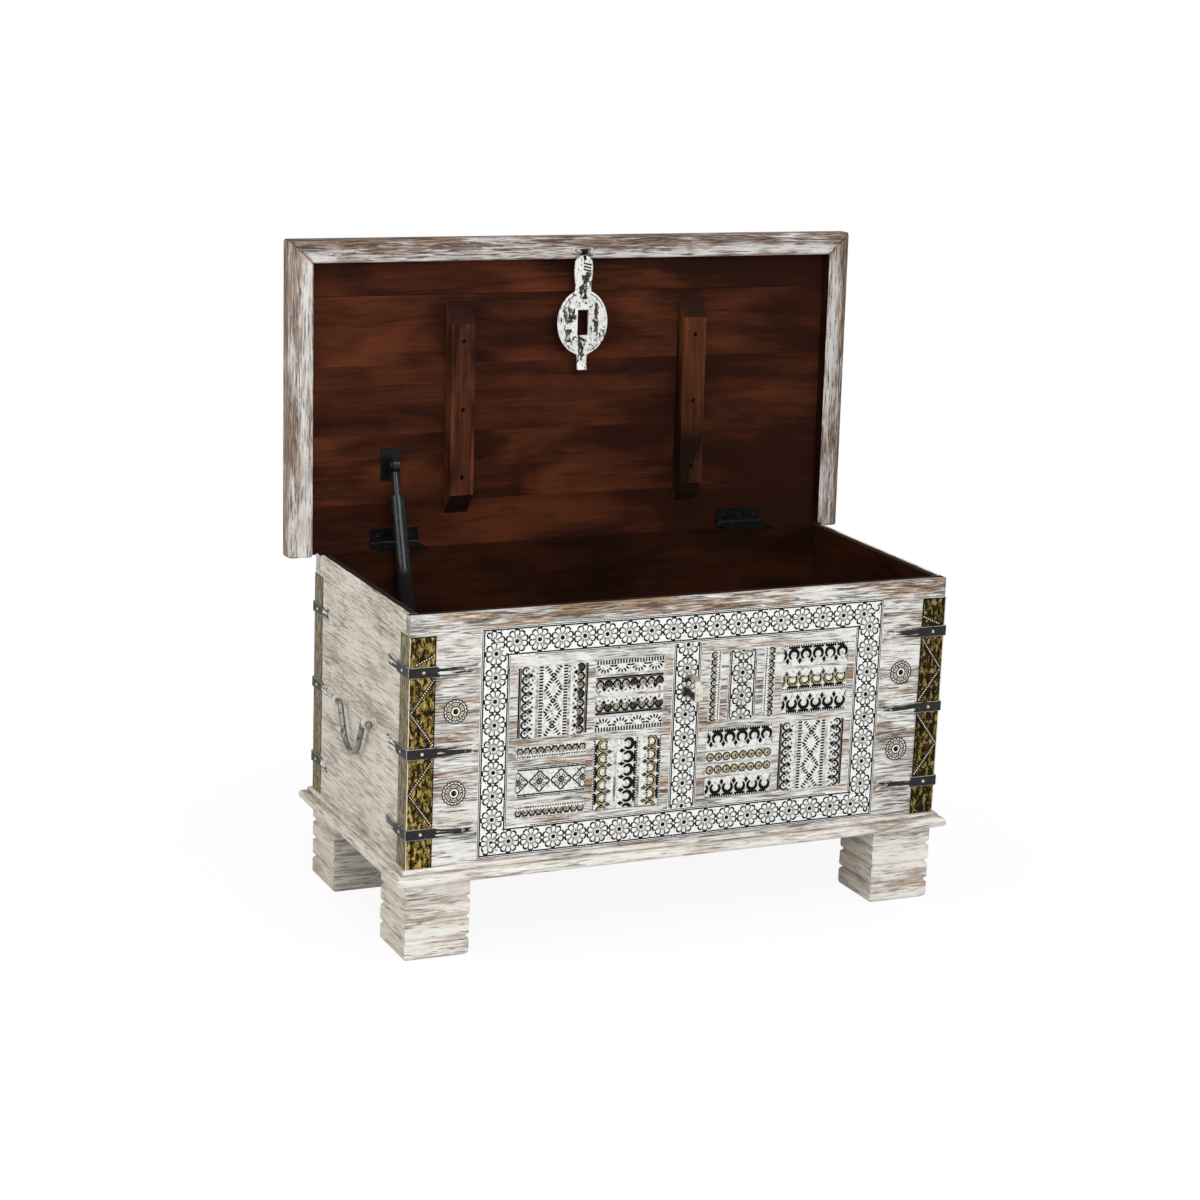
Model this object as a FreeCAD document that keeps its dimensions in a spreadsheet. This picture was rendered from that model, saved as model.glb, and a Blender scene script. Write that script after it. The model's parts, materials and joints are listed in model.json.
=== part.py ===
"""A whitewashed storage chest with stamped strips, brass corners, drop handles and a cap lid on a stay.

Millimetres, +Z up. The origin is on the floor under the body's middle, -Y is the front and +X the right side.
The lid stands open: its pieces are drawn closed, then swung back together about the hinge line.
"""
import FreeCAD
import Part
import Sketcher
import math
import os
import re

# Driving sizes, in millimetres, with angles in degrees
SIZES = {
    # Body
    "body_width": 822.0,
    "body_depth": 387.0,
    "wall_height": 353.0,
    "wall_thickness": 16.0,
    "bottom_thickness": 12.0,
    "bottom_clearance": 0.5,
    # Base moulding, a rounded nose under a small step
    "moulding_height": 21.0,
    "moulding_overhang": 17.0,
    "moulding_inset": 45.0,
    "nose_height": 14.0,
    "nose_round": 6.0,
    "step_overhang": 7.0,
    "step_round": 3.0,
    # Feet, blocks parted by V grooves
    "foot_height": 112.0,
    "foot_width": 95.0,
    "groove_height": 8.0,
    "groove_depth": 4.0,
    # Brass corner angles
    "brass_thickness": 1.0,
    "brass_face_width": 37.0,
    "brass_side_width": 33.0,
    "brass_top_gap": 29.0,
    # Iron corner straps
    "strap_thickness": 2.0,
    "strap_height": 15.0,
    "strap_waist": 8.0,
    "strap_tail": 16.0,
    "strap_tail_length": 18.0,
    "strap_notch": 9.0,
    "strap_face_reach": 99.0,
    "strap_front_side_reach": 77.0,
    "strap_back_side_reach": 62.0,
    "strap_first_drop": 78.0,
    "strap_pitch": 113.0,
    "nail_radius": 3.0,
    "nail_crown_radius": 1.5,
    "nail_height": 1.5,
    "nail_inset": 19.0,
    # Stamped strips on the front
    "strip_thickness": 1.0,
    "border_width": 43.0,
    "border_strap_gap": 3.0,
    "border_top_margin": 23.0,
    "border_bottom_margin": 4.0,
    "block_gap": 12.0,
    "block_margin": 13.0,
    "block_shift": 1.0,
    "block_drop": 3.0,
    "strip_gap": 4.0,
    "loop_strip_gap": 12.0,
    # Rosettes
    "rosette_radius": 17.0,
    "rosette_thickness": 1.2,
    "rosette_boss_radius": 4.0,
    "rosette_boss_height": 1.5,
    "rosette_inset": 67.0,
    "rosette_first_drop": 136.0,
    "rosette_pitch": 115.0,
    # Drop handles
    "handle_spacing": 124.0,
    "handle_rim_drop": 183.0,
    "handle_drop": 57.0,
    "handle_standoff": 11.5,
    "handle_rod_radius": 4.2,
    "handle_neck_round": 8.0,
    "handle_neck_room": 9.2,
    "handle_loop_round": 32.0,
    "handle_taper": 27.0,
    "handle_end_radius": 5.6,
    "handle_eye_radius": 7.0,
    "handle_eye_length": 8.0,
    "handle_stem_height": 10.8,
    "handle_foot_radius": 8.5,
    "handle_foot_thickness": 2.0,
    "pin_clearance": 0.05,
    # Lid
    "lid_side_overhang": 39.0,
    "lid_front_overhang": 36.0,
    "lid_back_overhang": 34.0,
    "lid_clearance": 3.0,
    "lid_open_angle": 91.3,
    "panel_thickness": 17.0,
    "front_plank_width": 50.0,
    "back_plank_reach": 60.0,
    "rail_hang": 19.0,
    "rail_round": 9.0,
    "batten_inset": 224.0,
    "batten_width": 37.0,
    "batten_thickness": 24.0,
    "batten_bevel": 30.0,
    "batten_front_gap": 41.0,
    "batten_back_gap": 1.0,
    "batten_screw_inset": 26.0,
    # Butt hinges
    "hinge_inset": 128.0,
    "hinge_length": 74.0,
    "hinge_setback": 23.0,
    "leaf_thickness": 2.0,
    "leaf_gap": 0.3,
    "lid_leaf_reach": 22.0,
    "knuckle_radius": 4.4,
    "knuckle_gap": 0.4,
    "knuckle_room": 0.6,
    "hinge_pin_radius": 2.0,
    "hinge_pin_head": 1.5,
    "hinge_pin_head_radius": 3.5,
    "leaf_screw_spread": 26.0,
    "leaf_screw_inset": 9.0,
    # Screws, flush with the metal that they hold
    "screw_head_radius": 3.0,
    "screw_shank_radius": 1.8,
    "screw_bite": 9.0,
    "screw_clearance": 0.05,
    "batten_screw_sink": 6.0,
    "batten_screw_head": 2.5,
    # Hasp
    "hasp_inset": 22.0,
    "hasp_standoff": 6.0,
    "hasp_thickness": 3.0,
    "hasp_neck_width": 17.0,
    "hasp_strap_width": 29.0,
    "hasp_slot_drop": 104.0,
    "hasp_plate_width": 80.0,
    "hasp_plate_length": 96.0,
    "hasp_slot_width": 18.0,
    "hasp_slot_length": 38.0,
    "hasp_tongue_width": 16.0,
    "hasp_length": 174.0,
    "hasp_knuckle_radius": 4.2,
    "hasp_pin_radius": 2.0,
    "hasp_lug_width": 4.0,
    "hasp_lug_gap": 0.4,
    "hasp_foot_thickness": 1.5,
    "hasp_foot_margin": 4.0,
    # Staple for the hasp
    "staple_radius": 3.5,
    "staple_reach": 38.0,
    "staple_bend": 13.5,
    # Lid stay
    "stay_inset": 121.0,
    "stay_arm": 117.0,
    "stay_standoff": 20.0,
    "stay_wall_gap": 2.0,
    "stay_foot_height": 40.0,
    "stay_eye_radius": 9.5,
    "stay_eye_width": 10.0,
    "stay_foot_eye_radius": 7.6,
    "stay_pin_radius": 3.0,
    "stay_shank_radius": 6.0,
    "stay_shank_length": 43.0,
    "stay_barrel_radius": 11.0,
    "stay_barrel_length": 200.0,
    "stay_barrel_wall": 4.0,
    "stay_gland_length": 8.0,
    "stay_rod_radius": 4.0,
    "stay_rod_hold": 20.0,
    "stay_piston_length": 6.0,
    "stay_piston_gap": 0.3,
    "stay_plate_thickness": 2.5,
    "stay_plate_width": 30.0,
    "stay_plate_length": 46.0,
    "stay_lug_thickness": 4.0,
    "stay_lug_gap": 0.4,
    "stay_lug_width": 15.2,
    "stay_screw_spread": 32.0,
}

# Places worked out from the driving sizes
PLACES = {
    "half_width": "body_width / 2",
    "half_depth": "body_depth / 2",
    "inner_half_width": "half_width - wall_thickness",
    "inner_half_depth": "half_depth - wall_thickness",
    "base_height": "foot_height + moulding_height",
    "floor_height": "base_height + bottom_thickness",
    "rim_height": "base_height + wall_height",
    "strip_face": "half_depth + strip_thickness",
    "border_half_width": "half_width - strap_face_reach - border_strap_gap",
    "border_top": "rim_height - border_top_margin",
    "border_bottom": "base_height + border_bottom_margin",
    "field_half_width": "border_half_width - border_width",
    "field_top": "border_top - border_width",
    "field_bottom": "border_bottom + border_width",
    "centre_half_width": "border_width / 2",
    "block_width": "(field_half_width - centre_half_width - block_gap) / 2 - block_margin",
    "block_height": "(field_top - field_bottom - block_gap) / 2 - block_margin",
    "strap_face": "brass_thickness + strap_thickness",
    "handle_height": "rim_height - handle_rim_drop",
    "hinge_offset": "half_width - hinge_inset",
    "hinge_line_depth": "half_depth + hinge_setback",
    "hinge_line_height": "rim_height + leaf_thickness + leaf_gap / 2",
    "lid_underside": "rim_height + 2 * leaf_thickness + leaf_gap",
    "lid_top": "lid_underside + panel_thickness",
    "lid_half_width": "half_width + lid_side_overhang",
    "lid_front": "half_depth + lid_front_overhang",
    "lid_back": "half_depth + lid_back_overhang",
    "rail_bottom": "lid_underside - rail_hang",
    "plank_start": "hinge_line_depth - back_plank_reach",
    "wide_plank_room": "plank_start + rail_front - front_plank_width",
    "rail_side": "half_width + lid_clearance",
    "rail_front": "half_depth + lid_clearance",
    "batten_offset": "half_width - batten_inset",
    "batten_front": "inner_half_depth - batten_front_gap",
    "batten_back": "inner_half_depth - batten_back_gap",
    "batten_face": "lid_underside - batten_thickness",
    "hasp_line_depth": "lid_front - hasp_inset",
    "hasp_line_height": "rail_bottom - hasp_standoff",
    "staple_height": "hasp_line_height - hasp_slot_drop",
    "stay_lid_depth": "hinge_line_depth - stay_arm",
    "stay_lid_height": "lid_underside - stay_standoff",
    "stay_offset": "half_width - stay_inset",
    "stay_rise": "stay_lid_height - hinge_line_height",
    "stay_top_depth": "hinge_line_depth - stay_arm * cos(lid_open_angle) + stay_rise * sin(lid_open_angle)",
    "stay_top_height": "hinge_line_height + stay_arm * sin(lid_open_angle) + stay_rise * cos(lid_open_angle)",
    "stay_wall_run": "stay_top_depth - inner_half_depth",
    "stay_wall_rise": "stay_top_height - rim_height - leaf_thickness",
    "stay_wall_angle": "atan(stay_wall_run / stay_wall_rise)",
    "stay_wall_distance": "stay_wall_rise / cos(stay_wall_angle)",
    "stay_lean": "stay_wall_angle + asin((stay_barrel_radius + stay_wall_gap) / stay_wall_distance)",
    "stay_foot_line": "floor_height + stay_foot_height",
    "stay_drop": "stay_top_height - stay_foot_line",
    "stay_foot_depth": "stay_top_depth - stay_drop * tan(stay_lean)",
    "stay_reach": "stay_drop / cos(stay_lean)",
}

FOOT_BLOCKS = 4
WIDE_PLANKS = 3
STRAPS_PER_CORNER = 3
HINGE_KNUCKLES = 5
ROSETTES_PER_SIDE = 2
SIDES = {"left": -1, "right": 1}
ENDS = {"front": -1, "back": 1}


# How each block of short strips is shared out: its column and row, the way its strips run, the gap
# between them, and their shares
BLOCKS = {
    "left": (
        ("outer", "top", "upright", "strip_gap", (0.6, 1, 0.6)),
        ("inner", "top", "level", "strip_gap", (0.8, 1, 1, 0.8)),
        ("outer", "bottom", "level", "loop_strip_gap", (0.4, 1, 0.4)),
        ("inner", "bottom", "upright", "strip_gap", (1, 1, 1)),
    ),
    "right": (
        ("inner", "top", "upright", "loop_strip_gap", (0.4, 1, 0.4)),
        ("outer", "top", "level", "strip_gap", (1, 1, 1)),
        ("inner", "bottom", "level", "strip_gap", (1, 0.5, 0.5, 1)),
        ("outer", "bottom", "upright", "strip_gap", (0.56, 1, 0.56)),
    ),
}

doc = FreeCAD.newDocument("storage_chest")
sheet = doc.addObject("Spreadsheet::Sheet", "Sizes")
for row, (alias, amount) in enumerate(SIZES.items(), start=1):
    sheet.set(f"A{row}", alias)
    sheet.set(f"B{row}", str(amount))
    sheet.setAlias(f"B{row}", alias)
doc.recompute()

WORD = re.compile(r"[a-z]+(?:_[a-z]+)+")
TURNS = {
    "x": FreeCAD.Rotation(FreeCAD.Vector(0, 1, 0), 90),
    "y": FreeCAD.Rotation(FreeCAD.Vector(1, 0, 0), -90),
    "z": FreeCAD.Rotation(),
    "-x": FreeCAD.Rotation(FreeCAD.Vector(0, 1, 0), -90),
    "-y": FreeCAD.Rotation(FreeCAD.Vector(1, 0, 0), 90),
}
PLANES = {
    "xy": ("z", FreeCAD.Rotation()),
    "xz": ("y", FreeCAD.Rotation(FreeCAD.Vector(1, 0, 0), 90)),
    "yz": ("x", FreeCAD.Rotation(FreeCAD.Vector(1, 1, 1), 120)),
}
UNIT = {"x": FreeCAD.Vector(1, 0, 0), "y": FreeCAD.Vector(0, 1, 0), "z": FreeCAD.Vector(0, 0, 1)}
nodes = {}


def bind(formula):
    """Write a formula of size names as an expression on the sheet."""
    def swap(match):
        word = match.group()
        if word in PLACES:
            return f"({bind(PLACES[word])})"
        return f"Sizes.{word}"
    return WORD.sub(swap, formula)


def value(formula):
    """Work a formula out in millimetres."""
    return sheet.evalExpression(bind(formula))


def mirrored(span, sign):
    """Give a span of two formulas on the positive or the negative side."""
    low, high = span
    if sign > 0:
        return low, high
    return f"-({high})", f"-({low})"


def move(item, at):
    """Bind an item's position, axis by axis."""
    for axis, formula in at.items():
        item.setExpression(f"Placement.Base.{axis}", bind(formula))


def box(name, x, y, z):
    """A block between two formulas on each axis."""
    item = doc.addObject("Part::Box", name)
    for side, (low, high) in zip(("Length", "Width", "Height"), (x, y, z)):
        item.setExpression(side, bind(f"({high}) - ({low})"))
    move(item, {"x": x[0], "y": y[0], "z": z[0]})
    return item


def rod(name, along, centre, span, radius):
    """A round bar along one axis, through a centre given on the other two axes in order."""
    item = doc.addObject("Part::Cylinder", name)
    item.Placement = FreeCAD.Placement(FreeCAD.Vector(), TURNS[along])
    low, high = span
    item.setExpression("Radius", bind(radius))
    item.setExpression("Height", bind(f"({high}) - ({low})"))
    places = dict(zip([axis for axis in "xyz" if axis != along], centre))
    places[along] = low
    move(item, places)
    return item


def nail(name, facing, centre):
    """A nail's head, standing on a face that looks along the given direction."""
    item = doc.addObject("Part::Cone", name)
    item.Placement = FreeCAD.Placement(FreeCAD.Vector(), TURNS[facing])
    item.setExpression("Radius1", bind("nail_radius"))
    item.setExpression("Radius2", bind("nail_crown_radius"))
    item.setExpression("Height", bind("nail_height"))
    move(item, dict(zip("xyz", centre)))
    return item


def prism(name, plane, corners, span):
    """An outline of straight sides in one plane, drawn out between two formulas on the third axis."""
    along, turn = PLANES[plane]
    outline = doc.addObject("Sketcher::SketchObject", f"{name}_outline")
    points = [FreeCAD.Vector(value(across), value(up), 0) for across, up in corners]
    following = points[1:] + points[:1]
    for start, end in zip(points, following):
        outline.addGeometry(Part.LineSegment(start, end))
    count = len(points)
    ties = [Sketcher.Constraint("Coincident", i, 2, (i + 1) % count, 1) for i in range(count)]
    for i, point in enumerate(points):
        ties.append(Sketcher.Constraint("DistanceX", -1, 1, i, 1, point.x))
        ties.append(Sketcher.Constraint("DistanceY", -1, 1, i, 1, point.y))
    outline.addConstraint(ties)
    formulas = [formula for corner in corners for formula in corner]
    for number, formula in enumerate(formulas, start=count):
        outline.setExpression(f"Constraints[{number}]", bind(formula))
    outline.Placement = FreeCAD.Placement(FreeCAD.Vector(), turn)
    low, high = span
    move(outline, {along: low})
    item = doc.addObject("Part::Extrusion", name)
    item.Base = outline
    item.DirMode = "Custom"
    item.Dir = UNIT[along]
    item.Solid = True
    item.setExpression("LengthFwd", bind(f"({high}) - ({low})"))
    return item


def fuse(name, items):
    """Join items into one solid."""
    item = doc.addObject("Part::MultiFuse", name)
    item.Shapes = items
    return item


def cut(name, base, tools):
    """Take tools away from a base."""
    item = doc.addObject("Part::Cut", name)
    item.Base = base
    item.Tool = tools[0] if len(tools) == 1 else fuse(f"{name}_tools", tools)
    return item


def common(name, base, tool):
    """Keep what two items share."""
    item = doc.addObject("Part::Common", name)
    item.Base = base
    item.Tool = tool
    return item


def group(name, items):
    """Hold separate solids in one piece list."""
    item = doc.addObject("Part::Compound", name)
    item.Links = items
    return item


def rounded(name, item, along, axis, sign, radius):
    """Round an item's straight edges that run along one axis on its outermost side on another."""
    doc.recompute()
    outermost = max(sign * corner.Point.dot(UNIT[axis]) for corner in item.Shape.Vertexes)
    chosen = []
    for number, edge in enumerate(item.Shape.Edges, start=1):
        start, end = edge.Vertexes[0].Point, edge.Vertexes[-1].Point
        runs_along = math.isclose(abs((end - start).normalize().dot(UNIT[along])), 1)
        if runs_along and math.isclose(sign * start.dot(UNIT[axis]), outermost):
            chosen.append((number, value(radius), value(radius)))
    result = doc.addObject("Part::Fillet", name)
    result.Base = item
    result.Edges = chosen
    return result


def keep(name, item):
    """Make an item one of the chest's pieces."""
    item.Label = name
    nodes[name] = item
    return item


def turned(name, item, angle, at):
    """Turn an item about the X axis by a formula's angle, then carry it to its place."""
    result = doc.addObject("Part::Compound", f"{name}_turned")
    result.Links = [item]
    result.Placement = FreeCAD.Placement(FreeCAD.Vector(), FreeCAD.Rotation(UNIT["x"], -1))
    result.setExpression("Placement.Rotation.Angle", bind(angle))
    move(result, at)
    return result


def keep_on_lid(name, item):
    """Make an item, drawn with the lid closed, one of the open lid's pieces."""
    turn_cos, turn_sin = "cos(lid_open_angle)", "sin(lid_open_angle)"
    depth, height = "hinge_line_depth", "hinge_line_height"
    at = {
        "y": f"{depth} - {depth} * {turn_cos} - {height} * {turn_sin}",
        "z": f"{height} + {depth} * {turn_sin} - {height} * {turn_cos}",
    }
    return keep(name, turned(name, item, "-lid_open_angle", at))


def keep_on_stay(name, item):
    """Make an item, drawn hanging straight down from the origin, one of the leaning stay's pieces."""
    at = {"x": "-stay_offset", "y": "stay_top_depth", "z": "stay_top_height"}
    return keep(name, turned(name, item, "-stay_lean", at))


def make_body():
    """Four walls on the base moulding, with a bottom board between them."""
    height = ("base_height", "rim_height")
    width, wall = ("-half_width", "half_width"), ("inner_half_depth", "half_depth")
    keep("front_board", box("front_board", width, mirrored(wall, -1), height))
    for side, sign in SIDES.items():
        thickness = mirrored(("inner_half_width", "half_width"), sign)
        name = f"{side}_side_board"
        keep(name, box(name, thickness, ("-inner_half_depth", "inner_half_depth"), height))
    back = box("back_plain", width, wall, height)
    keep("back_board", cut("back_board", back, wall_screw_holes()))
    room_x, room_y = "inner_half_width - bottom_clearance", "inner_half_depth - bottom_clearance"
    floor = ("base_height", "floor_height")
    bottom = box("bottom_plain", (f"-({room_x})", room_x), (f"-({room_y})", room_y), floor)
    keep("bottom_board", cut("bottom_board", bottom, foot_screw_holes()))


def make_moulding(name, along, sign):
    """One mitred length of the base moulding: a rounded nose with a rounded step above it."""
    across = "y" if along == "x" else "x"
    run, half = ("half_width", "half_depth") if along == "x" else ("half_depth", "half_width")
    inner = f"{half} - moulding_inset"
    layers = {
        "nose": ("moulding_overhang", ("foot_height", "foot_height + nose_height"), "nose_round"),
        "step": ("step_overhang", ("foot_height + nose_height", "base_height"), "step_round"),
    }
    lengths = []
    for layer, (overhang, height, radius) in layers.items():
        length = (f"-({run} + {overhang})", f"{run} + {overhang}")
        width = mirrored((inner, f"{half} + {overhang}"), sign)
        spans = (length, width) if along == "x" else (width, length)
        plain = box(f"{name}_{layer}_plain", spans[0], spans[1], height)
        lengths.append(rounded(f"{name}_{layer}", plain, along, across, sign, radius))
    outer_run, inner_run = f"{run} + moulding_overhang", f"{run} - moulding_inset"
    outer_across, inner_across = f"{sign} * ({half} + moulding_overhang)", f"{sign} * ({inner})"
    corners = [
        (f"-({outer_run})", outer_across),
        (outer_run, outer_across),
        (inner_run, inner_across),
        (f"-({inner_run})", inner_across),
    ]
    if along == "y":
        corners = [(up, over) for over, up in corners]
    mitre = prism(f"{name}_mitre", "xy", corners, ("foot_height", "base_height"))
    keep(name, common(name, fuse(f"{name}_length", lengths), mitre))


def grooved_outline(near, far):
    """A foot's outline: blocks with bevelled edges that meet in V grooves."""
    far_side, near_side = [(f"{far} - groove_depth", "0")], [(f"{near} + groove_depth", "0")]
    for block in range(FOOT_BLOCKS):
        bottom = f"foot_height * {block} / {FOOT_BLOCKS}"
        top = f"foot_height * {block + 1} / {FOOT_BLOCKS}"
        edges = ((far_side, far, f"{far} - groove_depth"), (near_side, near, f"{near} + groove_depth"))
        for side, face, sunk in edges:
            side.append((face, f"{bottom} + groove_height / 2"))
            side.append((face, f"{top} - groove_height / 2"))
            side.append((sunk, top))
    return far_side + near_side[::-1]


def make_foot(name, side, end):
    """A square foot whose grooves run round all four faces."""
    x_low, x_high = mirrored(("half_width - foot_width", "half_width"), side)
    y_low, y_high = mirrored(("half_depth - foot_width", "half_depth"), end)
    front = prism(f"{name}_front", "xz", grooved_outline(x_low, x_high), (y_low, y_high))
    flank = prism(f"{name}_flank", "yz", grooved_outline(y_low, y_high), (x_low, x_high))
    keep(name, common(name, front, flank))


def make_corner(name, side, end):
    """A brass angle on an upright corner, with its iron straps and nails."""
    height = ("base_height", "rim_height - brass_top_gap")
    outer_x, outer_y = "half_width + brass_thickness", "half_depth + brass_thickness"
    face = box(
        f"{name}_brass_face",
        mirrored(("half_width - brass_face_width", outer_x), side),
        mirrored(("half_depth", outer_y), end),
        height,
    )
    flank = box(
        f"{name}_brass_flank",
        mirrored(("half_width", outer_x), side),
        mirrored(("half_depth - brass_side_width", outer_y), end),
        height,
    )
    brass = keep(f"{name}_brass_corner", fuse(f"{name}_brass_corner", [face, flank]))
    solids = []
    for number in range(STRAPS_PER_CORNER):
        middle = f"rim_height - strap_first_drop - {number} * strap_pitch"
        solids += make_strap(f"{name}_strap_{number + 1}", side, end, middle, brass)
    keep(f"{name}_straps", group(f"{name}_straps", solids))


def strap_outline(edge, sign, reach, shoulder, middle):
    """One arm of a strap in elevation: straight over the brass, a narrow waist, and a split tail."""
    half_profile = [
        ("-strap_face", "strap_height / 2"),
        (shoulder, "strap_height / 2"),
        (f"{reach} - strap_tail_length", "strap_waist / 2"),
        (reach, "strap_tail / 2"),
    ]
    upper = [(f"{sign} * ({edge} - ({along}))", f"{middle} + {rise}") for along, rise in half_profile]
    lower = [(f"{sign} * ({edge} - ({along}))", f"{middle} - {rise}") for along, rise in half_profile]
    notch = (f"{sign} * ({edge} - ({reach} - strap_notch))", middle)
    return upper + [notch] + lower[::-1]


def make_strap(name, side, end, middle, brass):
    """An iron strap bent round a corner over the brass, and the nails in its two arms."""
    side_reach = "strap_front_side_reach" if end < 0 else "strap_back_side_reach"
    face_outline = strap_outline("half_width", side, "strap_face_reach", "brass_face_width", middle)
    side_outline = strap_outline("half_depth", end, side_reach, "brass_side_width", middle)
    face_depth = mirrored(("half_depth", "half_depth + strap_face"), end)
    side_depth = mirrored(("half_width", "half_width + strap_face"), side)
    face_arm = prism(f"{name}_face", "xz", face_outline, face_depth)
    side_arm = prism(f"{name}_flank", "yz", side_outline, side_depth)
    strap = cut(f"{name}_bent", fuse(f"{name}_arms", [face_arm, side_arm]), [brass])
    out_x, out_y = f"{side} * (half_width + strap_face)", f"{end} * (half_depth + strap_face)"
    facing_x, facing_y = ("x" if side > 0 else "-x"), ("y" if end > 0 else "-y")
    nails = []
    for place, along in {"corner": "nail_inset", "tail": "strap_face_reach - strap_tail_length"}.items():
        across = f"{side} * (half_width - ({along}))"
        nails.append(nail(f"{name}_face_{place}", facing_y, (across, out_y, middle)))
    for place, along in {"corner": "nail_inset", "tail": f"{side_reach} - strap_tail_length"}.items():
        across = f"{end} * (half_depth - ({along}))"
        nails.append(nail(f"{name}_flank_{place}", facing_x, (out_x, across, middle)))
    return [strap] + nails


def make_border():
    """The front's mitred border of stamped strips, and the upright strip in its middle."""
    depth = mirrored(("half_depth", "strip_face"), -1)
    corners = {
        "top_left": [("-border_half_width", "border_top"), ("-field_half_width", "field_top")],
        "top_right": [("border_half_width", "border_top"), ("field_half_width", "field_top")],
        "bottom_right": [("border_half_width", "border_bottom"), ("field_half_width", "field_bottom")],
        "bottom_left": [("-border_half_width", "border_bottom"), ("-field_half_width", "field_bottom")],
    }
    runs = {
        "border_top_strip": ("top_left", "top_right"),
        "border_right_strip": ("top_right", "bottom_right"),
        "border_bottom_strip": ("bottom_right", "bottom_left"),
        "border_left_strip": ("bottom_left", "top_left"),
    }
    for name, (start, end) in runs.items():
        outline = corners[start] + corners[end][::-1]
        keep(name, prism(name, "xz", outline, depth))
    width = ("-centre_half_width", "centre_half_width")
    keep("centre_strip", box("centre_strip", width, depth, ("field_bottom", "field_top")))


def make_blocks(side):
    """The short strips that fill one half of the front, four blocks of them."""
    sign = SIDES[side]
    depth = mirrored(("half_depth", "strip_face"), -1)
    columns = {
        "inner": "centre_half_width + block_margin + block_shift",
        "outer": "centre_half_width + block_margin + block_shift + block_width + block_gap",
    }
    rows = {
        "bottom": "field_bottom + block_margin - block_drop",
        "top": "field_bottom + block_margin - block_drop + block_height + block_gap",
    }
    strips = []
    for column, row, way, gap, shares in BLOCKS[side]:
        size = "block_width" if way == "upright" else "block_height"
        room = f"({size} - {len(shares) - 1} * {gap}) / {sum(shares)}"
        x_span = mirrored((columns[column], f"{columns[column]} + block_width"), sign)
        z_span = (rows[row], f"{rows[row]} + block_height")
        done = 0.0
        for number, share in enumerate(shares):
            start = f"{room} * {done} + {number} * {gap}"
            low = f"{x_span[0] if way == 'upright' else z_span[0]} + {start}"
            part = (low, f"{low} + {room} * {share}")
            spans = (part, z_span) if way == "upright" else (x_span, part)
            strips.append(box(f"{side}_{column}_{row}_strip_{number + 1}", spans[0], depth, spans[1]))
            done += share
    keep(f"{side}_panel_strips", group(f"{side}_panel_strips", strips))


def make_rosettes():
    """Stamped rosettes on the front's end stiles, each a disc with a raised boss."""
    discs = []
    for side, sign in SIDES.items():
        for number in range(ROSETTES_PER_SIDE):
            drop = f"rosette_first_drop + {number} * rosette_pitch"
            centre = (f"{sign} * (half_width - rosette_inset)", f"rim_height - ({drop})")
            name = f"{side}_rosette_{number + 1}"
            face = "half_depth + rosette_thickness"
            disc = rod(f"{name}_disc", "y", centre, mirrored(("half_depth", face), -1), "rosette_radius")
            boss_span = mirrored(("half_depth", f"{face} + rosette_boss_height"), -1)
            boss = rod(f"{name}_boss", "y", centre, boss_span, "rosette_boss_radius")
            discs.append(fuse(name, [disc, boss]))
    keep("rosettes", group("rosettes", discs))


def make_staple():
    """The upright loop on the front that the hasp's slot drops over."""
    start, bend = "strip_face", "strip_face + staple_reach - staple_bend"
    legs = []
    for sign in (-1, 1):
        centre = ("0", f"staple_height + {sign} * staple_bend")
        legs.append(rod(f"staple_leg_{sign + 1}", "y", centre, mirrored((start, bend), -1), "staple_radius"))
    crown = doc.addObject("Part::Torus", "staple_crown")
    crown.setExpression("Radius1", bind("staple_bend"))
    crown.setExpression("Radius2", bind("staple_radius"))
    crown.Angle3 = 180
    facing_front = FreeCAD.Rotation(UNIT["z"], -UNIT["y"], UNIT["x"], "ZXY")
    crown.Placement = FreeCAD.Placement(FreeCAD.Vector(), facing_front)
    move(crown, {"y": f"-({bend})", "z": "staple_height"})
    keep("hasp_staple", fuse("hasp_staple", legs + [crown]))


def rounded_path(points, radii):
    """A path of straight runs joined by tangent arcs at its inner points."""
    edges = []
    start = points[0]
    for before, corner, after, radius in zip(points, points[1:], points[2:], radii):
        back, ahead = (before - corner).normalize(), (after - corner).normalize()
        half_turn = (math.pi - back.getAngle(ahead)) / 2
        reach = radius * math.tan(half_turn)
        first, last = corner + back * reach, corner + ahead * reach
        inward = (back + ahead).normalize()
        crest = corner + inward * (radius / math.cos(half_turn) - radius)
        edges.append(Part.LineSegment(start, first).toShape())
        edges.append(Part.Arc(first, crest, last).toShape())
        start = last
    edges.append(Part.LineSegment(start, points[-1]).toShape())
    return Part.Wire(edges)


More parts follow.
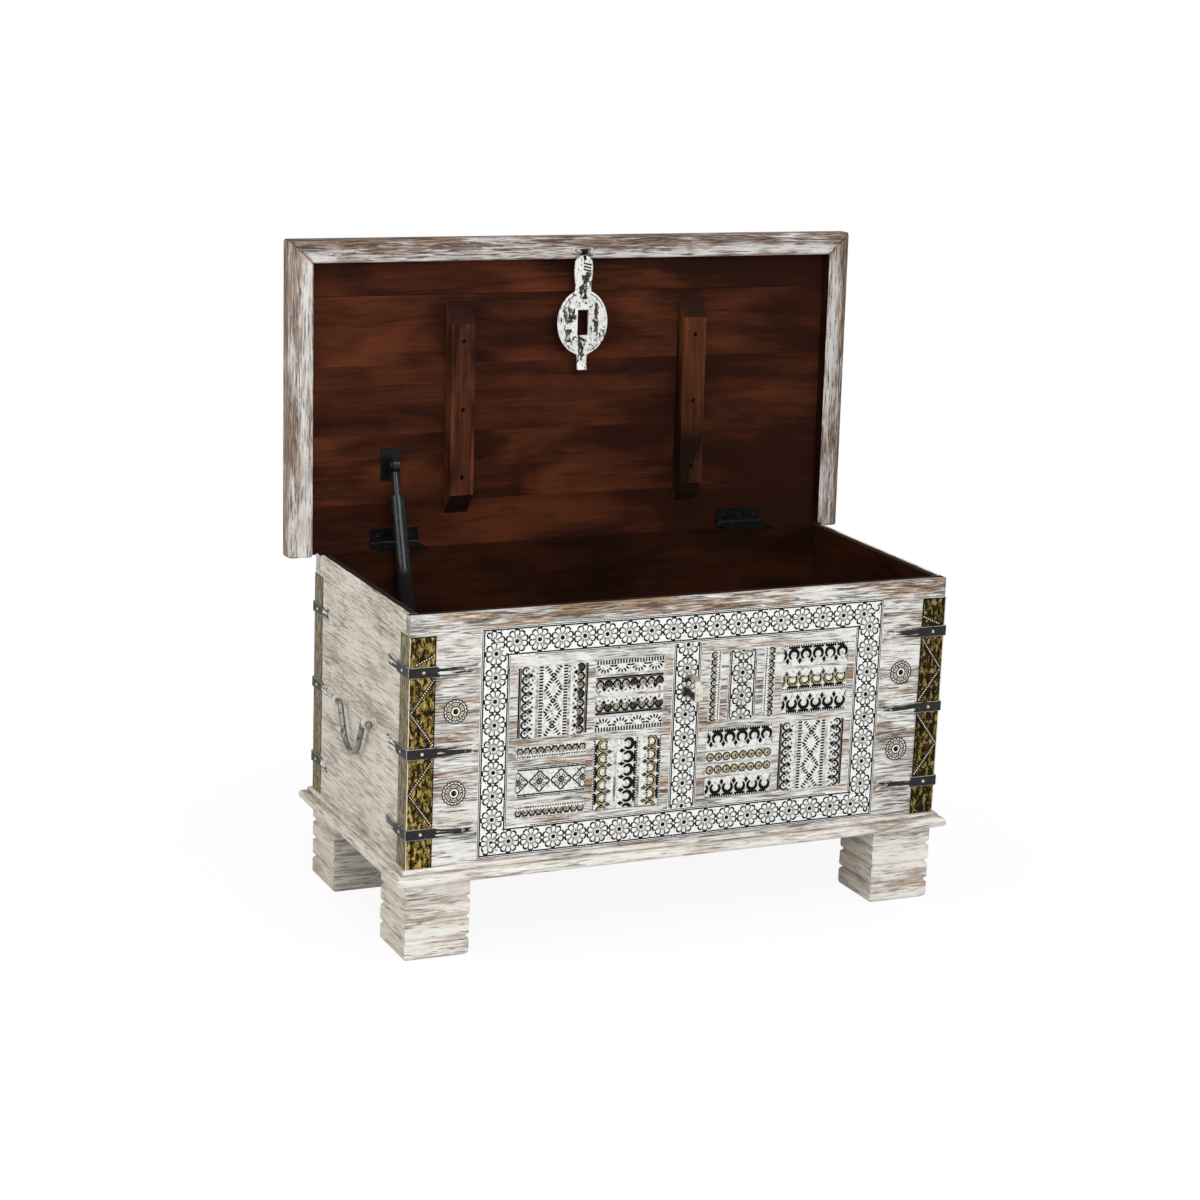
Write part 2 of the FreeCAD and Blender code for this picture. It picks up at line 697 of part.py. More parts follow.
def make_handle(side):
    """A drop handle: a bent bar hanging between two eyes on a side board."""
    sign = SIDES[side]
    line_x = f"{sign} * (half_width + handle_standoff)"
    x, z = value(line_x), value("handle_height")
    half, drop, taper = value("handle_spacing / 2"), value("handle_drop"), value("handle_taper")
    eye, ball = value("handle_eye_length / 2"), value("handle_end_radius")
    neck = half - eye - value("handle_neck_room")
    tip = half + eye + ball
    outline = [(-tip, 0), (-neck, 0), (taper - neck, -drop), (neck - taper, -drop), (neck, 0), (tip, 0)]
    points = [FreeCAD.Vector(x, y, z + rise) for y, rise in outline]
    neck_round, loop_round = value("handle_neck_round"), value("handle_loop_round")
    radii = [neck_round, loop_round, loop_round, neck_round]
    section = Part.Wire(Part.Circle(points[0], UNIT["y"], value("handle_rod_radius")).toShape())
    bar = rounded_path(points, radii).makePipeShell([section], True, False)
    for end in (points[0], points[-1]):
        bar = bar.fuse(Part.makeSphere(ball, end))
    bail = doc.addObject("Part::Feature", f"{side}_handle")
    bail.Shape = bar.removeSplitter()
    keep(f"{side}_handle", bail)
    eyes = []
    for end, along in ENDS.items():
        name = f"{side}_handle_{end}_eye"
        middle = f"{along} * handle_spacing / 2"
        length = (f"{middle} - handle_eye_length / 2", f"{middle} + handle_eye_length / 2")
        centre = (line_x, "handle_height")
        ring = rod(f"{name}_ring", "y", centre, length, "handle_eye_radius")
        neck_span = mirrored(("half_width", "half_width + handle_standoff"), sign)
        rise = ("handle_height - handle_stem_height / 2", "handle_height + handle_stem_height / 2")
        stem = box(f"{name}_stem", neck_span, length, rise)
        foot_span = mirrored(("half_width", "half_width + handle_foot_thickness"), sign)
        foot = rod(f"{name}_foot", "x", (middle, "handle_height"), foot_span, "handle_foot_radius")
        bore = rod(f"{name}_bore", "y", centre, length, "handle_rod_radius + pin_clearance")
        eyes.append(cut(name, fuse(f"{name}_solid", [ring, stem, foot]), [bore]))
    keep(f"{side}_handle_eyes", group(f"{side}_handle_eyes", eyes))


def knuckle_span(middle, first, last):
    """The stretch of a hinge's barrel from one knuckle to another, as formulas."""
    share = f"hinge_length / {HINGE_KNUCKLES}"
    low = f"{middle} - hinge_length / 2 + {first} * {share}"
    high = f"{middle} - hinge_length / 2 + {last + 1} * {share}"
    return low, high


def hinge_barrel(name, middle, numbers, radius, ease):
    """Round stretches on the hinge line, one for each numbered knuckle, eased at both ends."""
    pieces = []
    for number in numbers:
        low, high = knuckle_span(middle, number, number)
        span = (f"{low} - ({ease})", f"{high} + {ease}")
        centre = ("hinge_line_depth", "hinge_line_height")
        pieces.append(rod(f"{name}_{number}", "x", centre, span, radius))
    return pieces


def leaf_screw_places(middle):
    """Where a hinge leaf's screws stand along the hinge."""
    return [f"{middle} + {step} * leaf_screw_spread" for step in (-1, 0, 1)]


def hinge_middles():
    """The middle of each hinge along the back."""
    return {side: f"{sign} * hinge_offset" for side, sign in SIDES.items()}


def wall_screw_holes():
    """Pilot holes in the back board's top edge."""
    depth = "half_depth - leaf_screw_inset"
    span = ("rim_height - screw_bite", "rim_height")
    holes = []
    for side, middle in hinge_middles().items():
        for number, along in enumerate(leaf_screw_places(middle)):
            name = f"{side}_wall_pilot_{number}"
            holes.append(rod(name, "z", (along, depth), span, "screw_shank_radius + screw_clearance"))
    return holes


def screw(name, centre, face, inner, bite):
    """A flush screw along Z: its head fills the metal from face to inner, its shank bites beyond."""
    head_span, shank_span = (face, inner), (inner, bite)
    if value(face) > value(inner):
        head_span, shank_span = (inner, face), (bite, inner)
    head = rod(f"{name}_head", "z", centre, head_span, "screw_head_radius")
    shank = rod(f"{name}_shank", "z", centre, shank_span, "screw_shank_radius")
    return fuse(name, [head, shank])


def make_hinges():
    """Two butt hinges: leaves on the wall's top edge and under the lid, and a pin through their knuckles."""
    wall_knuckles = range(0, HINGE_KNUCKLES, 2)
    lid_knuckles = range(1, HINGE_KNUCKLES, 2)
    ease, bore_radius = "knuckle_gap / 2", "hinge_pin_radius + pin_clearance"
    head_hole = "screw_head_radius + screw_clearance"
    leaf_top = "rim_height + leaf_thickness"
    wall_screws, lid_screws = [], []
    for side, middle in hinge_middles().items():
        length = knuckle_span(middle, 0, HINGE_KNUCKLES - 1)
        centre = ("hinge_line_depth", "hinge_line_height")
        name = f"{side}_hinge_wall_leaf"
        leaf = ("rim_height", leaf_top)
        plate = box(f"{name}_plate", length, ("inner_half_depth", "hinge_line_depth"), leaf)
        knuckles = hinge_barrel(f"{name}_knuckle", middle, wall_knuckles, "knuckle_radius", f"-{ease}")
        solid = fuse(f"{name}_solid", [plate] + knuckles)
        room = hinge_barrel(f"{name}_room", middle, lid_knuckles, "knuckle_radius + knuckle_gap", ease)
        holes = [rod(f"{name}_bore", "x", centre, length, bore_radius)]
        depth = "half_depth - leaf_screw_inset"
        for number, along in enumerate(leaf_screw_places(middle)):
            holes.append(rod(f"{name}_hole_{number}", "z", (along, depth), leaf, head_hole))
            reach = (leaf_top, "rim_height", "rim_height - screw_bite")
            wall_screws.append(screw(f"{name}_screw_{number}", (along, depth), *reach))
        keep(name, cut(name, solid, room + holes))

        name = f"{side}_hinge_lid_leaf"
        leaf = ("lid_underside - leaf_thickness", "lid_underside")
        plate = box(f"{name}_plate", length, ("hinge_line_depth - lid_leaf_reach", "hinge_line_depth"), leaf)
        knuckles = hinge_barrel(f"{name}_knuckle", middle, lid_knuckles, "knuckle_radius", f"-{ease}")
        solid = fuse(f"{name}_solid", [plate] + knuckles)
        room = hinge_barrel(f"{name}_room", middle, wall_knuckles, "knuckle_radius + knuckle_gap", ease)
        holes = [rod(f"{name}_bore", "x", centre, length, bore_radius)]
        depth = "hinge_line_depth - lid_leaf_reach + leaf_screw_inset"
        for number, along in enumerate(leaf_screw_places(middle)):
            holes.append(rod(f"{name}_hole_{number}", "z", (along, depth), leaf, head_hole))
            reach = (leaf[0], leaf[1], "lid_underside + screw_bite")
            lid_screws.append(screw(f"{name}_screw_{number}", (along, depth), *reach))
        keep_on_lid(name, cut(name, solid, room + holes))

        name = f"{side}_hinge_pin"
        low, high = length
        tip_low, tip_high = f"{low} - hinge_pin_head", f"{high} + hinge_pin_head"
        shaft = rod(f"{name}_shaft", "x", centre, (tip_low, tip_high), "hinge_pin_radius")
        heads = [
            rod(f"{name}_low_head", "x", centre, (tip_low, low), "hinge_pin_head_radius"),
            rod(f"{name}_high_head", "x", centre, (high, tip_high), "hinge_pin_head_radius"),
        ]
        keep(name, fuse(name, [shaft] + heads))
    return wall_screws, lid_screws


def lid_screw_holes():
    """Everything that bites into the lid's boards from below: pilot holes and the hinges' knuckle grooves."""
    bite = ("lid_underside", "lid_underside + screw_bite")
    pilot = "screw_shank_radius + screw_clearance"
    holes = []
    for side, middle in hinge_middles().items():
        low, high = knuckle_span(middle, 0, HINGE_KNUCKLES - 1)
        groove_span = (f"{low} - hinge_pin_head - knuckle_gap", f"{high} + hinge_pin_head + knuckle_gap")
        centre = ("hinge_line_depth", "hinge_line_height")
        holes.append(rod(f"{side}_knuckle_groove", "x", centre, groove_span, "knuckle_radius + knuckle_room"))
        depth = "hinge_line_depth - lid_leaf_reach + leaf_screw_inset"
        for number, along in enumerate(leaf_screw_places(middle)):
            holes.append(rod(f"{side}_leaf_pilot_{number}", "z", (along, depth), bite, pilot))
    for side, sign in SIDES.items():
        for number, depth in enumerate(batten_screw_places()):
            centre = (f"{sign} * batten_offset", depth)
            holes.append(rod(f"{side}_batten_pilot_{number}", "z", centre, bite, pilot))
    for number, sign in enumerate((-1, 1)):
        centre = ("-stay_offset", f"stay_lid_depth + {sign} * stay_screw_spread / 2")
        holes.append(rod(f"stay_lid_pilot_{number}", "z", centre, bite, pilot))
    return holes


def make_lid_boards():
    """The lid's boards, laid from the back edge to the front rail and held by rails on three sides."""
    holes = fuse("lid_board_holes", lid_screw_holes())
    width, height = ("-rail_side", "rail_side"), ("lid_underside", "lid_top")
    lines = ["lid_back"]
    share = f"wide_plank_room / {WIDE_PLANKS}"
    lines += [f"plank_start - {number} * {share}" for number in range(WIDE_PLANKS + 1)]
    lines.append("-rail_front")
    for number, (back, front) in enumerate(zip(lines, lines[1:]), start=1):
        name = f"lid_board_{number}"
        plain = box(f"{name}_plain", width, (front, back), height)
        keep_on_lid(name, cut(f"{name}_drilled", plain, [holes]))


def make_lid_rails():
    """The hanging rails: one along the front, mitred to one down each side."""
    height = ("rail_bottom", "lid_top")
    width = ("-lid_half_width", "lid_half_width")
    plain = box("lid_front_rail_plain", width, ("-lid_front", "-rail_front"), height)
    front = rounded("lid_front_rail_round", plain, "x", "y", -1, "rail_round")
    corners = [
        ("-lid_half_width", "-lid_front"),
        ("lid_half_width", "-lid_front"),
        ("rail_side", "-rail_front"),
        ("-rail_side", "-rail_front"),
    ]
    mitre = prism("lid_front_rail_mitre", "xy", corners, height)
    keep_on_lid("lid_front_rail", common("lid_front_rail_mitred", front, mitre))
    for side, sign in SIDES.items():
        name = f"lid_{side}_rail"
        width = mirrored(("rail_side", "lid_half_width"), sign)
        plain = box(f"{name}_plain", width, ("-lid_front", "lid_back"), height)
        edge = rounded(f"{name}_round", plain, "y", "x", sign, "rail_round")
        corners = [
            (f"{sign} * lid_half_width", "-lid_front"),
            (f"{sign} * lid_half_width", "lid_back"),
            (f"{sign} * rail_side", "lid_back"),
            (f"{sign} * rail_side", "-rail_front"),
        ]
        mitre = prism(f"{name}_mitre", "xy", corners, height)
        keep_on_lid(name, common(f"{name}_mitred", edge, mitre))


def batten_screw_places():
    """Where a batten's screws stand along its flat face, as depths."""
    first = "-batten_front + batten_bevel + batten_screw_inset"
    last = "batten_back - batten_bevel - batten_screw_inset"
    return [first, f"(({first}) + ({last})) / 2", last]


def make_battens():
    """Two bevelled battens across the lid's boards, with sunk screws."""
    screws = []
    for side, sign in SIDES.items():
        name = f"{side}_batten"
        middle = f"{sign} * batten_offset"
        corners = [
            ("-batten_front", "lid_underside"),
            ("batten_back", "lid_underside"),
            ("batten_back - batten_bevel", "batten_face"),
            ("-batten_front + batten_bevel", "batten_face"),
        ]
        width = (f"{middle} - batten_width / 2", f"{middle} + batten_width / 2")
        plain = prism(f"{name}_plain", "yz", corners, width)
        holes = []
        for number, depth in enumerate(batten_screw_places()):
            centre = (middle, depth)
            seat = "batten_face + batten_screw_sink"
            under_head = f"{seat} + batten_screw_head"
            wide, narrow = "screw_head_radius + screw_clearance", "screw_shank_radius + screw_clearance"
            holes.append(rod(f"{name}_sink_{number}", "z", centre, ("batten_face", under_head), wide))
            holes.append(rod(f"{name}_hole_{number}", "z", centre, (under_head, "lid_underside"), narrow))
            bite = "lid_underside + screw_bite"
            screws.append(screw(f"{name}_screw_{number}", centre, seat, under_head, bite))
        keep_on_lid(name, cut(f"{name}_drilled", plain, holes))
    keep_on_lid("batten_screws", group("batten_screws_closed", screws))


def make_hasp():
    """The hasp: a slotted oval plate on a strap that turns on a pin between two lugs under the front rail."""
    line = ("-hasp_line_depth", "hasp_line_height")
    lug_start = "hasp_neck_width / 2 + hasp_lug_gap"
    lug_end = f"{lug_start} + hasp_lug_width"
    foot = box(
        "hasp_eye_foot",
        (f"-({lug_end}) - hasp_foot_margin", f"{lug_end} + hasp_foot_margin"),
        ("-hasp_line_depth - 2 * hasp_foot_margin", "-hasp_line_depth + 2 * hasp_foot_margin"),
        ("rail_bottom - hasp_foot_thickness", "rail_bottom"),
    )
    solids = [foot, rod("hasp_pin", "x", line, (f"-({lug_end})", lug_end), "hasp_pin_radius")]
    for side, sign in SIDES.items():
        span = mirrored((lug_start, lug_end), sign)
        solids.append(rod(f"{side}_hasp_lug_round", "x", line, span, "hasp_knuckle_radius"))
        depth = ("-hasp_line_depth - hasp_knuckle_radius", "-hasp_line_depth + hasp_knuckle_radius")
        solids.append(box(f"{side}_hasp_lug", span, depth, ("hasp_line_height", "rail_bottom")))
    keep_on_lid("hasp_eye", fuse("hasp_eye_closed", solids))

    neck = ("-hasp_neck_width / 2", "hasp_neck_width / 2")
    thickness = ("hasp_line_height - hasp_thickness / 2", "hasp_line_height + hasp_thickness / 2")
    start = "-hasp_line_depth"
    shoulder = f"{start} + hasp_knuckle_radius + hasp_lug_width"
    middle = f"{start} + hasp_slot_drop"
    knuckle = rod("hasp_knuckle", "x", line, neck, "hasp_knuckle_radius")
    stem = box("hasp_stem", neck, (start, middle), thickness)
    strap_width = ("-hasp_strap_width / 2", "hasp_strap_width / 2")
    strap = box("hasp_strap", strap_width, (shoulder, middle), thickness)
    tongue_width = ("-hasp_tongue_width / 2", "hasp_tongue_width / 2")
    tongue = box("hasp_tongue", tongue_width, (middle, f"{start} + hasp_length"), thickness)
    rim = doc.addObject("Part::Ellipse", "hasp_rim")
    rim.setExpression("MajorRadius", bind("hasp_plate_length / 2"))
    rim.setExpression("MinorRadius", bind("hasp_plate_width / 2"))
    rim.Placement = FreeCAD.Placement(FreeCAD.Vector(), FreeCAD.Rotation(UNIT["z"], 90))
    move(rim, {"y": middle, "z": thickness[0]})
    plate = doc.addObject("Part::Extrusion", "hasp_plate")
    plate.Base = rim
    plate.DirMode = "Custom"
    plate.Dir = UNIT["z"]
    plate.Solid = True
    plate.setExpression("LengthFwd", bind("hasp_thickness"))
    bore = rod("hasp_bore", "x", line, neck, "hasp_pin_radius + pin_clearance")
    slot_width = ("-hasp_slot_width / 2", "hasp_slot_width / 2")
    slot_length = (f"{middle} - hasp_slot_length / 2", f"{middle} + hasp_slot_length / 2")
    slot = box("hasp_slot", slot_width, slot_length, thickness)
    solid = fuse("hasp_solid", [knuckle, stem, strap, tongue, plate])
    keep_on_lid("hasp", cut("hasp_closed", solid, [bore, slot]))


def foot_screw_holes():
    """Pilot holes in the bottom board for the stay's foot bracket."""
    span = ("floor_height - screw_bite", "floor_height")
    pilot = "screw_shank_radius + screw_clearance"
    holes = []
    for number, sign in enumerate((-1, 1)):
        centre = ("-stay_offset", f"stay_foot_depth + {sign} * stay_screw_spread / 2")
        holes.append(rod(f"stay_foot_pilot_{number}", "z", centre, span, pilot))
    return holes


def stay_bracket(name, depth, plate_height, lug_height, face, inner, bite):
    """A bracket of the lid stay: a screwed plate with a lug that stands beside the stay's eye."""
    plate_x = ("-stay_offset - stay_plate_width / 2", "-stay_offset + stay_plate_width / 2")
    plate_y = (f"{depth} - stay_plate_length / 2", f"{depth} + stay_plate_length / 2")
    lug_side = "-stay_offset - stay_eye_width / 2 - stay_lug_gap"
    lug_x = (f"{lug_side} - stay_lug_thickness", lug_side)
    plate = box(f"{name}_plate", plate_x, plate_y, plate_height)
    lug_y = (f"{depth} - stay_lug_width / 2", f"{depth} + stay_lug_width / 2")
    lug = box(f"{name}_lug", lug_x, lug_y, lug_height)
    head_hole = "screw_head_radius + screw_clearance"
    holes, screws = [], []
    for number, sign in enumerate((-1, 1)):
        centre = ("-stay_offset", f"{depth} + {sign} * stay_screw_spread / 2")
        holes.append(rod(f"{name}_hole_{number}", "z", centre, plate_height, head_hole))
        screws.append(screw(f"{name}_screw_{number}", centre, face, inner, bite))
    return [plate, lug], lug_x, holes, screws


def make_stay():
    """The lid stay: a barrel hung on the lid's bracket, and a rod that slides out of it to a foot bracket."""
    plate_height = ("lid_underside - stay_plate_thickness", "lid_underside")
    lug_height = ("stay_lid_height", "lid_underside")
    solids, lug_x, holes, lid_screws = stay_bracket(
        "stay_lid_bracket", "stay_lid_depth", plate_height, lug_height,
        plate_height[0], "lid_underside", "lid_underside + screw_bite",
    )
    line = ("stay_lid_depth", "stay_lid_height")
    solids.append(rod("stay_lid_boss", "x", line, lug_x, "stay_lug_width / 2"))
    pin_span = (lug_x[0], "-stay_offset + stay_eye_width / 2 + stay_lug_gap")
    solids.append(rod("stay_lid_pin", "x", line, pin_span, "stay_pin_radius"))
    solid = fuse("stay_lid_bracket_solid", solids)
    keep_on_lid("stay_lid_bracket", cut("stay_lid_bracket_closed", solid, holes))

    plate_height = ("floor_height", "floor_height + stay_plate_thickness")
    lug_height = ("floor_height", "stay_foot_line")
    solids, lug_x, holes, foot_screws = stay_bracket(
        "stay_foot_bracket", "stay_foot_depth", plate_height, lug_height,
        plate_height[1], "floor_height", "floor_height - screw_bite",
    )
    line = ("stay_foot_depth", "stay_foot_line")
    solids.append(rod("stay_foot_boss", "x", line, lug_x, "stay_lug_width / 2"))
    keep("stay_foot_bracket", cut("stay_foot_bracket", fuse("stay_foot_bracket_solid", solids), holes))

    # The barrel and rod hang straight down from the lid's pivot until they are leaned onto the foot's pivot
    centre = ("0", "0")
    width = ("-stay_eye_width / 2", "stay_eye_width / 2")
    shank_end, barrel_end = "-stay_shank_length", "-stay_shank_length - stay_barrel_length"
    shank = (shank_end, "-stay_lug_width / 2 - stay_lug_gap")
    bore_span = (f"{barrel_end} + stay_gland_length", f"{shank_end} - stay_barrel_wall")
    bore_radius = "stay_barrel_radius - stay_barrel_wall"
    solid = fuse("stay_barrel_solid", [
        rod("stay_barrel_eye", "x", centre, width, "stay_eye_radius"),
        rod("stay_shank", "z", centre, shank, "stay_shank_radius"),
        rod("stay_tube", "z", centre, (barrel_end, shank_end), "stay_barrel_radius"),
    ])
    barrel = cut("stay_barrel_hung", solid, [
        rod("stay_eye_bore", "x", centre, width, "stay_pin_radius + pin_clearance"),
        rod("stay_tube_bore", "z", centre, bore_span, bore_radius),
        rod("stay_gland_bore", "z", centre, (barrel_end, bore_span[0]), "stay_rod_radius + pin_clearance"),
    ])
    keep_on_stay("stay_barrel", barrel)

    reach = "-stay_reach"
    rod_top = f"{barrel_end} + stay_rod_hold"
    piston = (f"{rod_top} - stay_piston_length", rod_top)
    solid = fuse("stay_rod_solid", [
        rod("stay_rod_eye", "x", ("0", reach), width, "stay_foot_eye_radius"),
        rod("stay_rod_shaft", "z", centre, (reach, rod_top), "stay_rod_radius"),
        rod("stay_piston", "z", centre, piston, f"{bore_radius} - stay_piston_gap"),
    ])
    bore = rod("stay_rod_bore", "x", ("0", reach), width, "stay_pin_radius + pin_clearance")
    keep_on_stay("stay_rod", cut("stay_rod_hung", solid, [bore]))
    return foot_screws, lid_screws


def check_document():
    """Stop on a failed feature or an unsound piece."""
    for item in doc.Objects:
        if "Invalid" in item.State or "Error" in item.State:
            raise RuntimeError(f"{item.Name} failed: {item.State}")
    for name, item in nodes.items():
        if item.Shape.isNull() or not item.Shape.isValid() or not item.Shape.Solids:
            raise RuntimeError(f"{name} has no sound shape")


def main():
    """Build every piece and write one file for each."""
    make_body()
    for end, sign in ENDS.items():
        make_moulding(f"{end}_moulding", "x", sign)
    for side, sign in SIDES.items():
        make_moulding(f"{side}_moulding", "y", sign)
    for end, along in ENDS.items():
        for side, across in SIDES.items():
            make_foot(f"{end}_{side}_foot", across, along)
            make_corner(f"{end}_{side}", across, along)
    make_border()
    for side in SIDES:
        make_blocks(side)
        make_handle(side)
    make_rosettes()
    make_staple()
    make_lid_boards()
    make_lid_rails()
    make_battens()
    make_hasp()
    wall_screws, lid_screws = make_hinges()
    foot_screws, bracket_screws = make_stay()
    keep("body_screws", group("body_screws", wall_screws + foot_screws))
    keep_on_lid("lid_screws", group("lid_screws_closed", lid_screws + bracket_screws))
    doc.recompute()
    check_document()
    os.makedirs("parts", exist_ok=True)
    for name, item in nodes.items():
        item.Shape.exportStep(f"parts/{name}.step")
    print(len(nodes), "pieces written")


main()
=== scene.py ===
"""A whitewashed storage chest with stamped strips, brass corners, iron straps and a cap lid that stands open."""
import json
import logging
import math
from dataclasses import dataclass
from enum import Enum, IntEnum
from functools import cache
from typing import Callable, Sequence

import bmesh
import bpy
import numpy as np
from mathutils import Matrix, Vector, noise


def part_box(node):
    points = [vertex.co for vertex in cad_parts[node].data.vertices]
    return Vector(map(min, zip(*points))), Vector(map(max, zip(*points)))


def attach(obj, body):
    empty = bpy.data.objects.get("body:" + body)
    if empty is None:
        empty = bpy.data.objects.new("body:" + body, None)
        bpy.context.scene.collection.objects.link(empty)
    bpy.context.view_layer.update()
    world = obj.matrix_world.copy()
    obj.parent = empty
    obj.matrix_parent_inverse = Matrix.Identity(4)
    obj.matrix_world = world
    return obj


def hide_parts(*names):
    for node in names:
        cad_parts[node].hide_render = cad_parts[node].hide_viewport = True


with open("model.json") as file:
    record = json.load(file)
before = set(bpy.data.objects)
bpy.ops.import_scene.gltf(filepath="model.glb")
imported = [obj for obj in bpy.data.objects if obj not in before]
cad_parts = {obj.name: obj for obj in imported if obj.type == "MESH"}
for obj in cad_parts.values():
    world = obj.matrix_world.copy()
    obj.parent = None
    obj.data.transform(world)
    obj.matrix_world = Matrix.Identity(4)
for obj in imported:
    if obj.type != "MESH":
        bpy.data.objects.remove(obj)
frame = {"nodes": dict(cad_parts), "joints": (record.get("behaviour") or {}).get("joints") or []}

log = logging.getLogger("chest")
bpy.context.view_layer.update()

Colour = tuple[float, float, float]
Pair = tuple[float, float]
Socket = bpy.types.NodeSocket
Choice = Callable[[Vector, Vector], int]
Test = Callable[[np.ndarray], np.ndarray]

RIGHT, UP, FRONT = Vector((1, 0, 0)), Vector((0, 0, 1)), Vector((0, -1, 0))
ENDS, SIDES = ("front", "back"), ("left", "right")
JOLTS = (Vector((0.0, 0.0, 0.0)), Vector((31.7, 5.3, 12.9)), Vector((8.1, 47.2, 23.6)))
JOLT_REPEATS = 37.0
WELD = 2e-6
FLAT_ANGLE, SHARP_ANGLE = math.radians(1.0), math.radians(28)


class Axis(IntEnum):
    """An axis of the chest's frame."""

    X = 0
    Y = 1
    Z = 2


class NodeSheet:
    """A material and short ways to add and join its nodes."""

    def __init__(self, name: str, roughness: float, metallic: float = 0.0, specular: float = 0.5) -> None:
        """Start a material with one principled surface.

        Args:
            name: The finish's name.
            roughness: How matt the surface is.
            metallic: How far the surface is bare metal.
            specular: The strength of its plain gloss.
        """
        self.material = bpy.data.materials.new(name)
        self.material.use_nodes = True
        self.tree = self.material.node_tree
        self.surface = self.tree.nodes["Principled BSDF"]
        self.surface.inputs["Roughness"].default_value = roughness
        self.surface.inputs["Metallic"].default_value = metallic
        self.surface.inputs["Specular IOR Level"].default_value = specular
        self.coordinates = self.add("TexCoord").outputs["Object"]

    def add(self, kind: str, *values: object, **settings: object) -> bpy.types.Node:
        """Add a node, set it up and feed its first sockets.

        Args:
            kind: The node's type, without the words that every type starts with.
            values: Numbers, colours or sockets for its inputs, in order.
            settings: Attributes to set on it.

        Returns:
            The new node.
        """
        node = self.tree.nodes.new(f"ShaderNode{kind}")
        for key, value in settings.items():
            setattr(node, key, value)
        for socket, value in zip(node.inputs, values):
            self.feed(socket, value)
        return node

    def feed(self, socket: Socket, value: object) -> None:
        """Link a socket's value, or set it where it is a plain number or colour.

        Args:
            socket: The input to feed.
            value: Another node's output, a number or a colour.
        """
        if isinstance(value, Socket):
            self.tree.links.new(value, socket)
        else:
            socket.default_value = value

    def sum(self, operation: str, *numbers: object) -> Socket:
        """Work out one step of arithmetic."""
        return self.add("Math", *numbers, operation=operation).outputs[0]

    def times(self, first: object, second: object) -> Socket:
        """Multiply two values."""
        return self.sum("MULTIPLY", first, second)

    def plus(self, value: object, times: object, start: object) -> Socket:
        """Add a value, so many times, to a start."""
        return self.sum("MULTIPLY_ADD", value, times, start)

    def step(self, value: object, low: float, high: float) -> Socket:
        """Ease a value from none at low to all at high."""
        return self.add("MapRange", value, low, high, 0.0, 1.0, interpolation_type="SMOOTHSTEP").outputs[0]

    def stretch(self, scale: Sequence[float], shift: Sequence[float]) -> Socket:
        """Scale the piece's own coordinates and then shift them."""
        return self.add("Mapping", self.coordinates, shift, (0.0, 0.0, 0.0), scale).outputs[0]

    def cloud(self, scale: object, detail: float, rough: float, twist: float = 0.0,
              shift: Sequence[float] = (0.0, 0.0, 0.0)) -> Socket:
        """Make soft noise in the piece's own coordinates.

        Args:
            scale: How often it repeats in a metre, one number or one for each axis.
            detail: How many finer layers it has.
            rough: How strong they are.
            twist: How far the noise bends itself.
            shift: How far it is moved.

        Returns:
            The noise's socket, about 0.5 on the whole.
        """
        node = self.add("TexNoise", self.stretch(scale if isinstance(scale, tuple) else (scale,) * 3, shift))
        for key, value in {"Scale": 1.0, "Detail": detail, "Roughness": rough, "Distortion": twist}.items():
            node.inputs[key].default_value = value
        return node.outputs["Fac"]

    def blend(self, share: object, under: object, over: object, most: float = 1.0) -> Socket:
        """Lay one colour over another.

        Args:
            share: How far the upper colour covers.
            under: The lower colour or its socket.
            over: The upper colour or its socket.
            most: How far it covers where the share is whole.

        Returns:
            The mixed colour's socket.
        """
        node = self.add("Mix", share if most == 1.0 else self.times(share, most), data_type="RGBA")
        for socket, value in ((node.inputs[6], under), (node.inputs[7], over)):
            self.feed(socket, (*value, 1.0) if isinstance(value, tuple) else value)
        return node.outputs[2]

    def edge(self) -> Socket:
        """Read the mark that eased edges carry."""
        return self.add("Attribute", attribute_name="edge").outputs["Fac"]

    def place(self, axis: Axis) -> Socket:
        """Read one of the piece's own coordinates."""
        return self.add("SeparateXYZ", self.coordinates).outputs[axis]

    def apart(self, axis: Axis) -> Socket:
        """Tell how far a point lies from the middle along one axis, either way."""
        return self.sum("ABSOLUTE", self.place(axis))

    def facing(self, axis: Axis) -> Socket:
        """Tell how squarely a face looks along one axis, either way."""
        normal = self.add("TexCoord").outputs["Normal"]
        return self.sum("ABSOLUTE", self.add("SeparateXYZ", normal).outputs[axis])

    def done(self, colour: object, height: Socket, depth: float, strength: float) -> bpy.types.Material:
        """Give the surface its colour and raise its shading by a height.

        Args:
            colour: The colour or its socket.
            height: The height's socket.
            depth: The relief's depth in metres.
            strength: How far it counts.

        Returns:
            The material.
        """
        self.feed(self.surface.inputs["Base Color"], colour)
        node = self.add("Bump")
        for key, value in (("Strength", strength), ("Distance", depth), ("Height", height)):
            self.feed(node.inputs[key], value)
        self.feed(self.surface.inputs["Normal"], node.outputs[0])
        return self.material


def along(axis: Axis, fine: float, coarse: float) -> tuple[float, ...]:
    """Give the repeats on each axis of a grain that is coarse along one axis and fine across it."""
    return tuple(coarse if other == axis else fine for other in Axis)


def scaled(colour: Colour, by: float) -> Colour:
    """Make a colour lighter or darker."""
    return tuple(value * by for value in colour)


@dataclass(frozen=True)
class Finish:
    """A finish that can make its material."""

    name: str

    def make(self) -> bpy.types.Material:
        """Build the finish's material; each kind of finish does it its own way."""
        raise NotImplementedError(self.name)


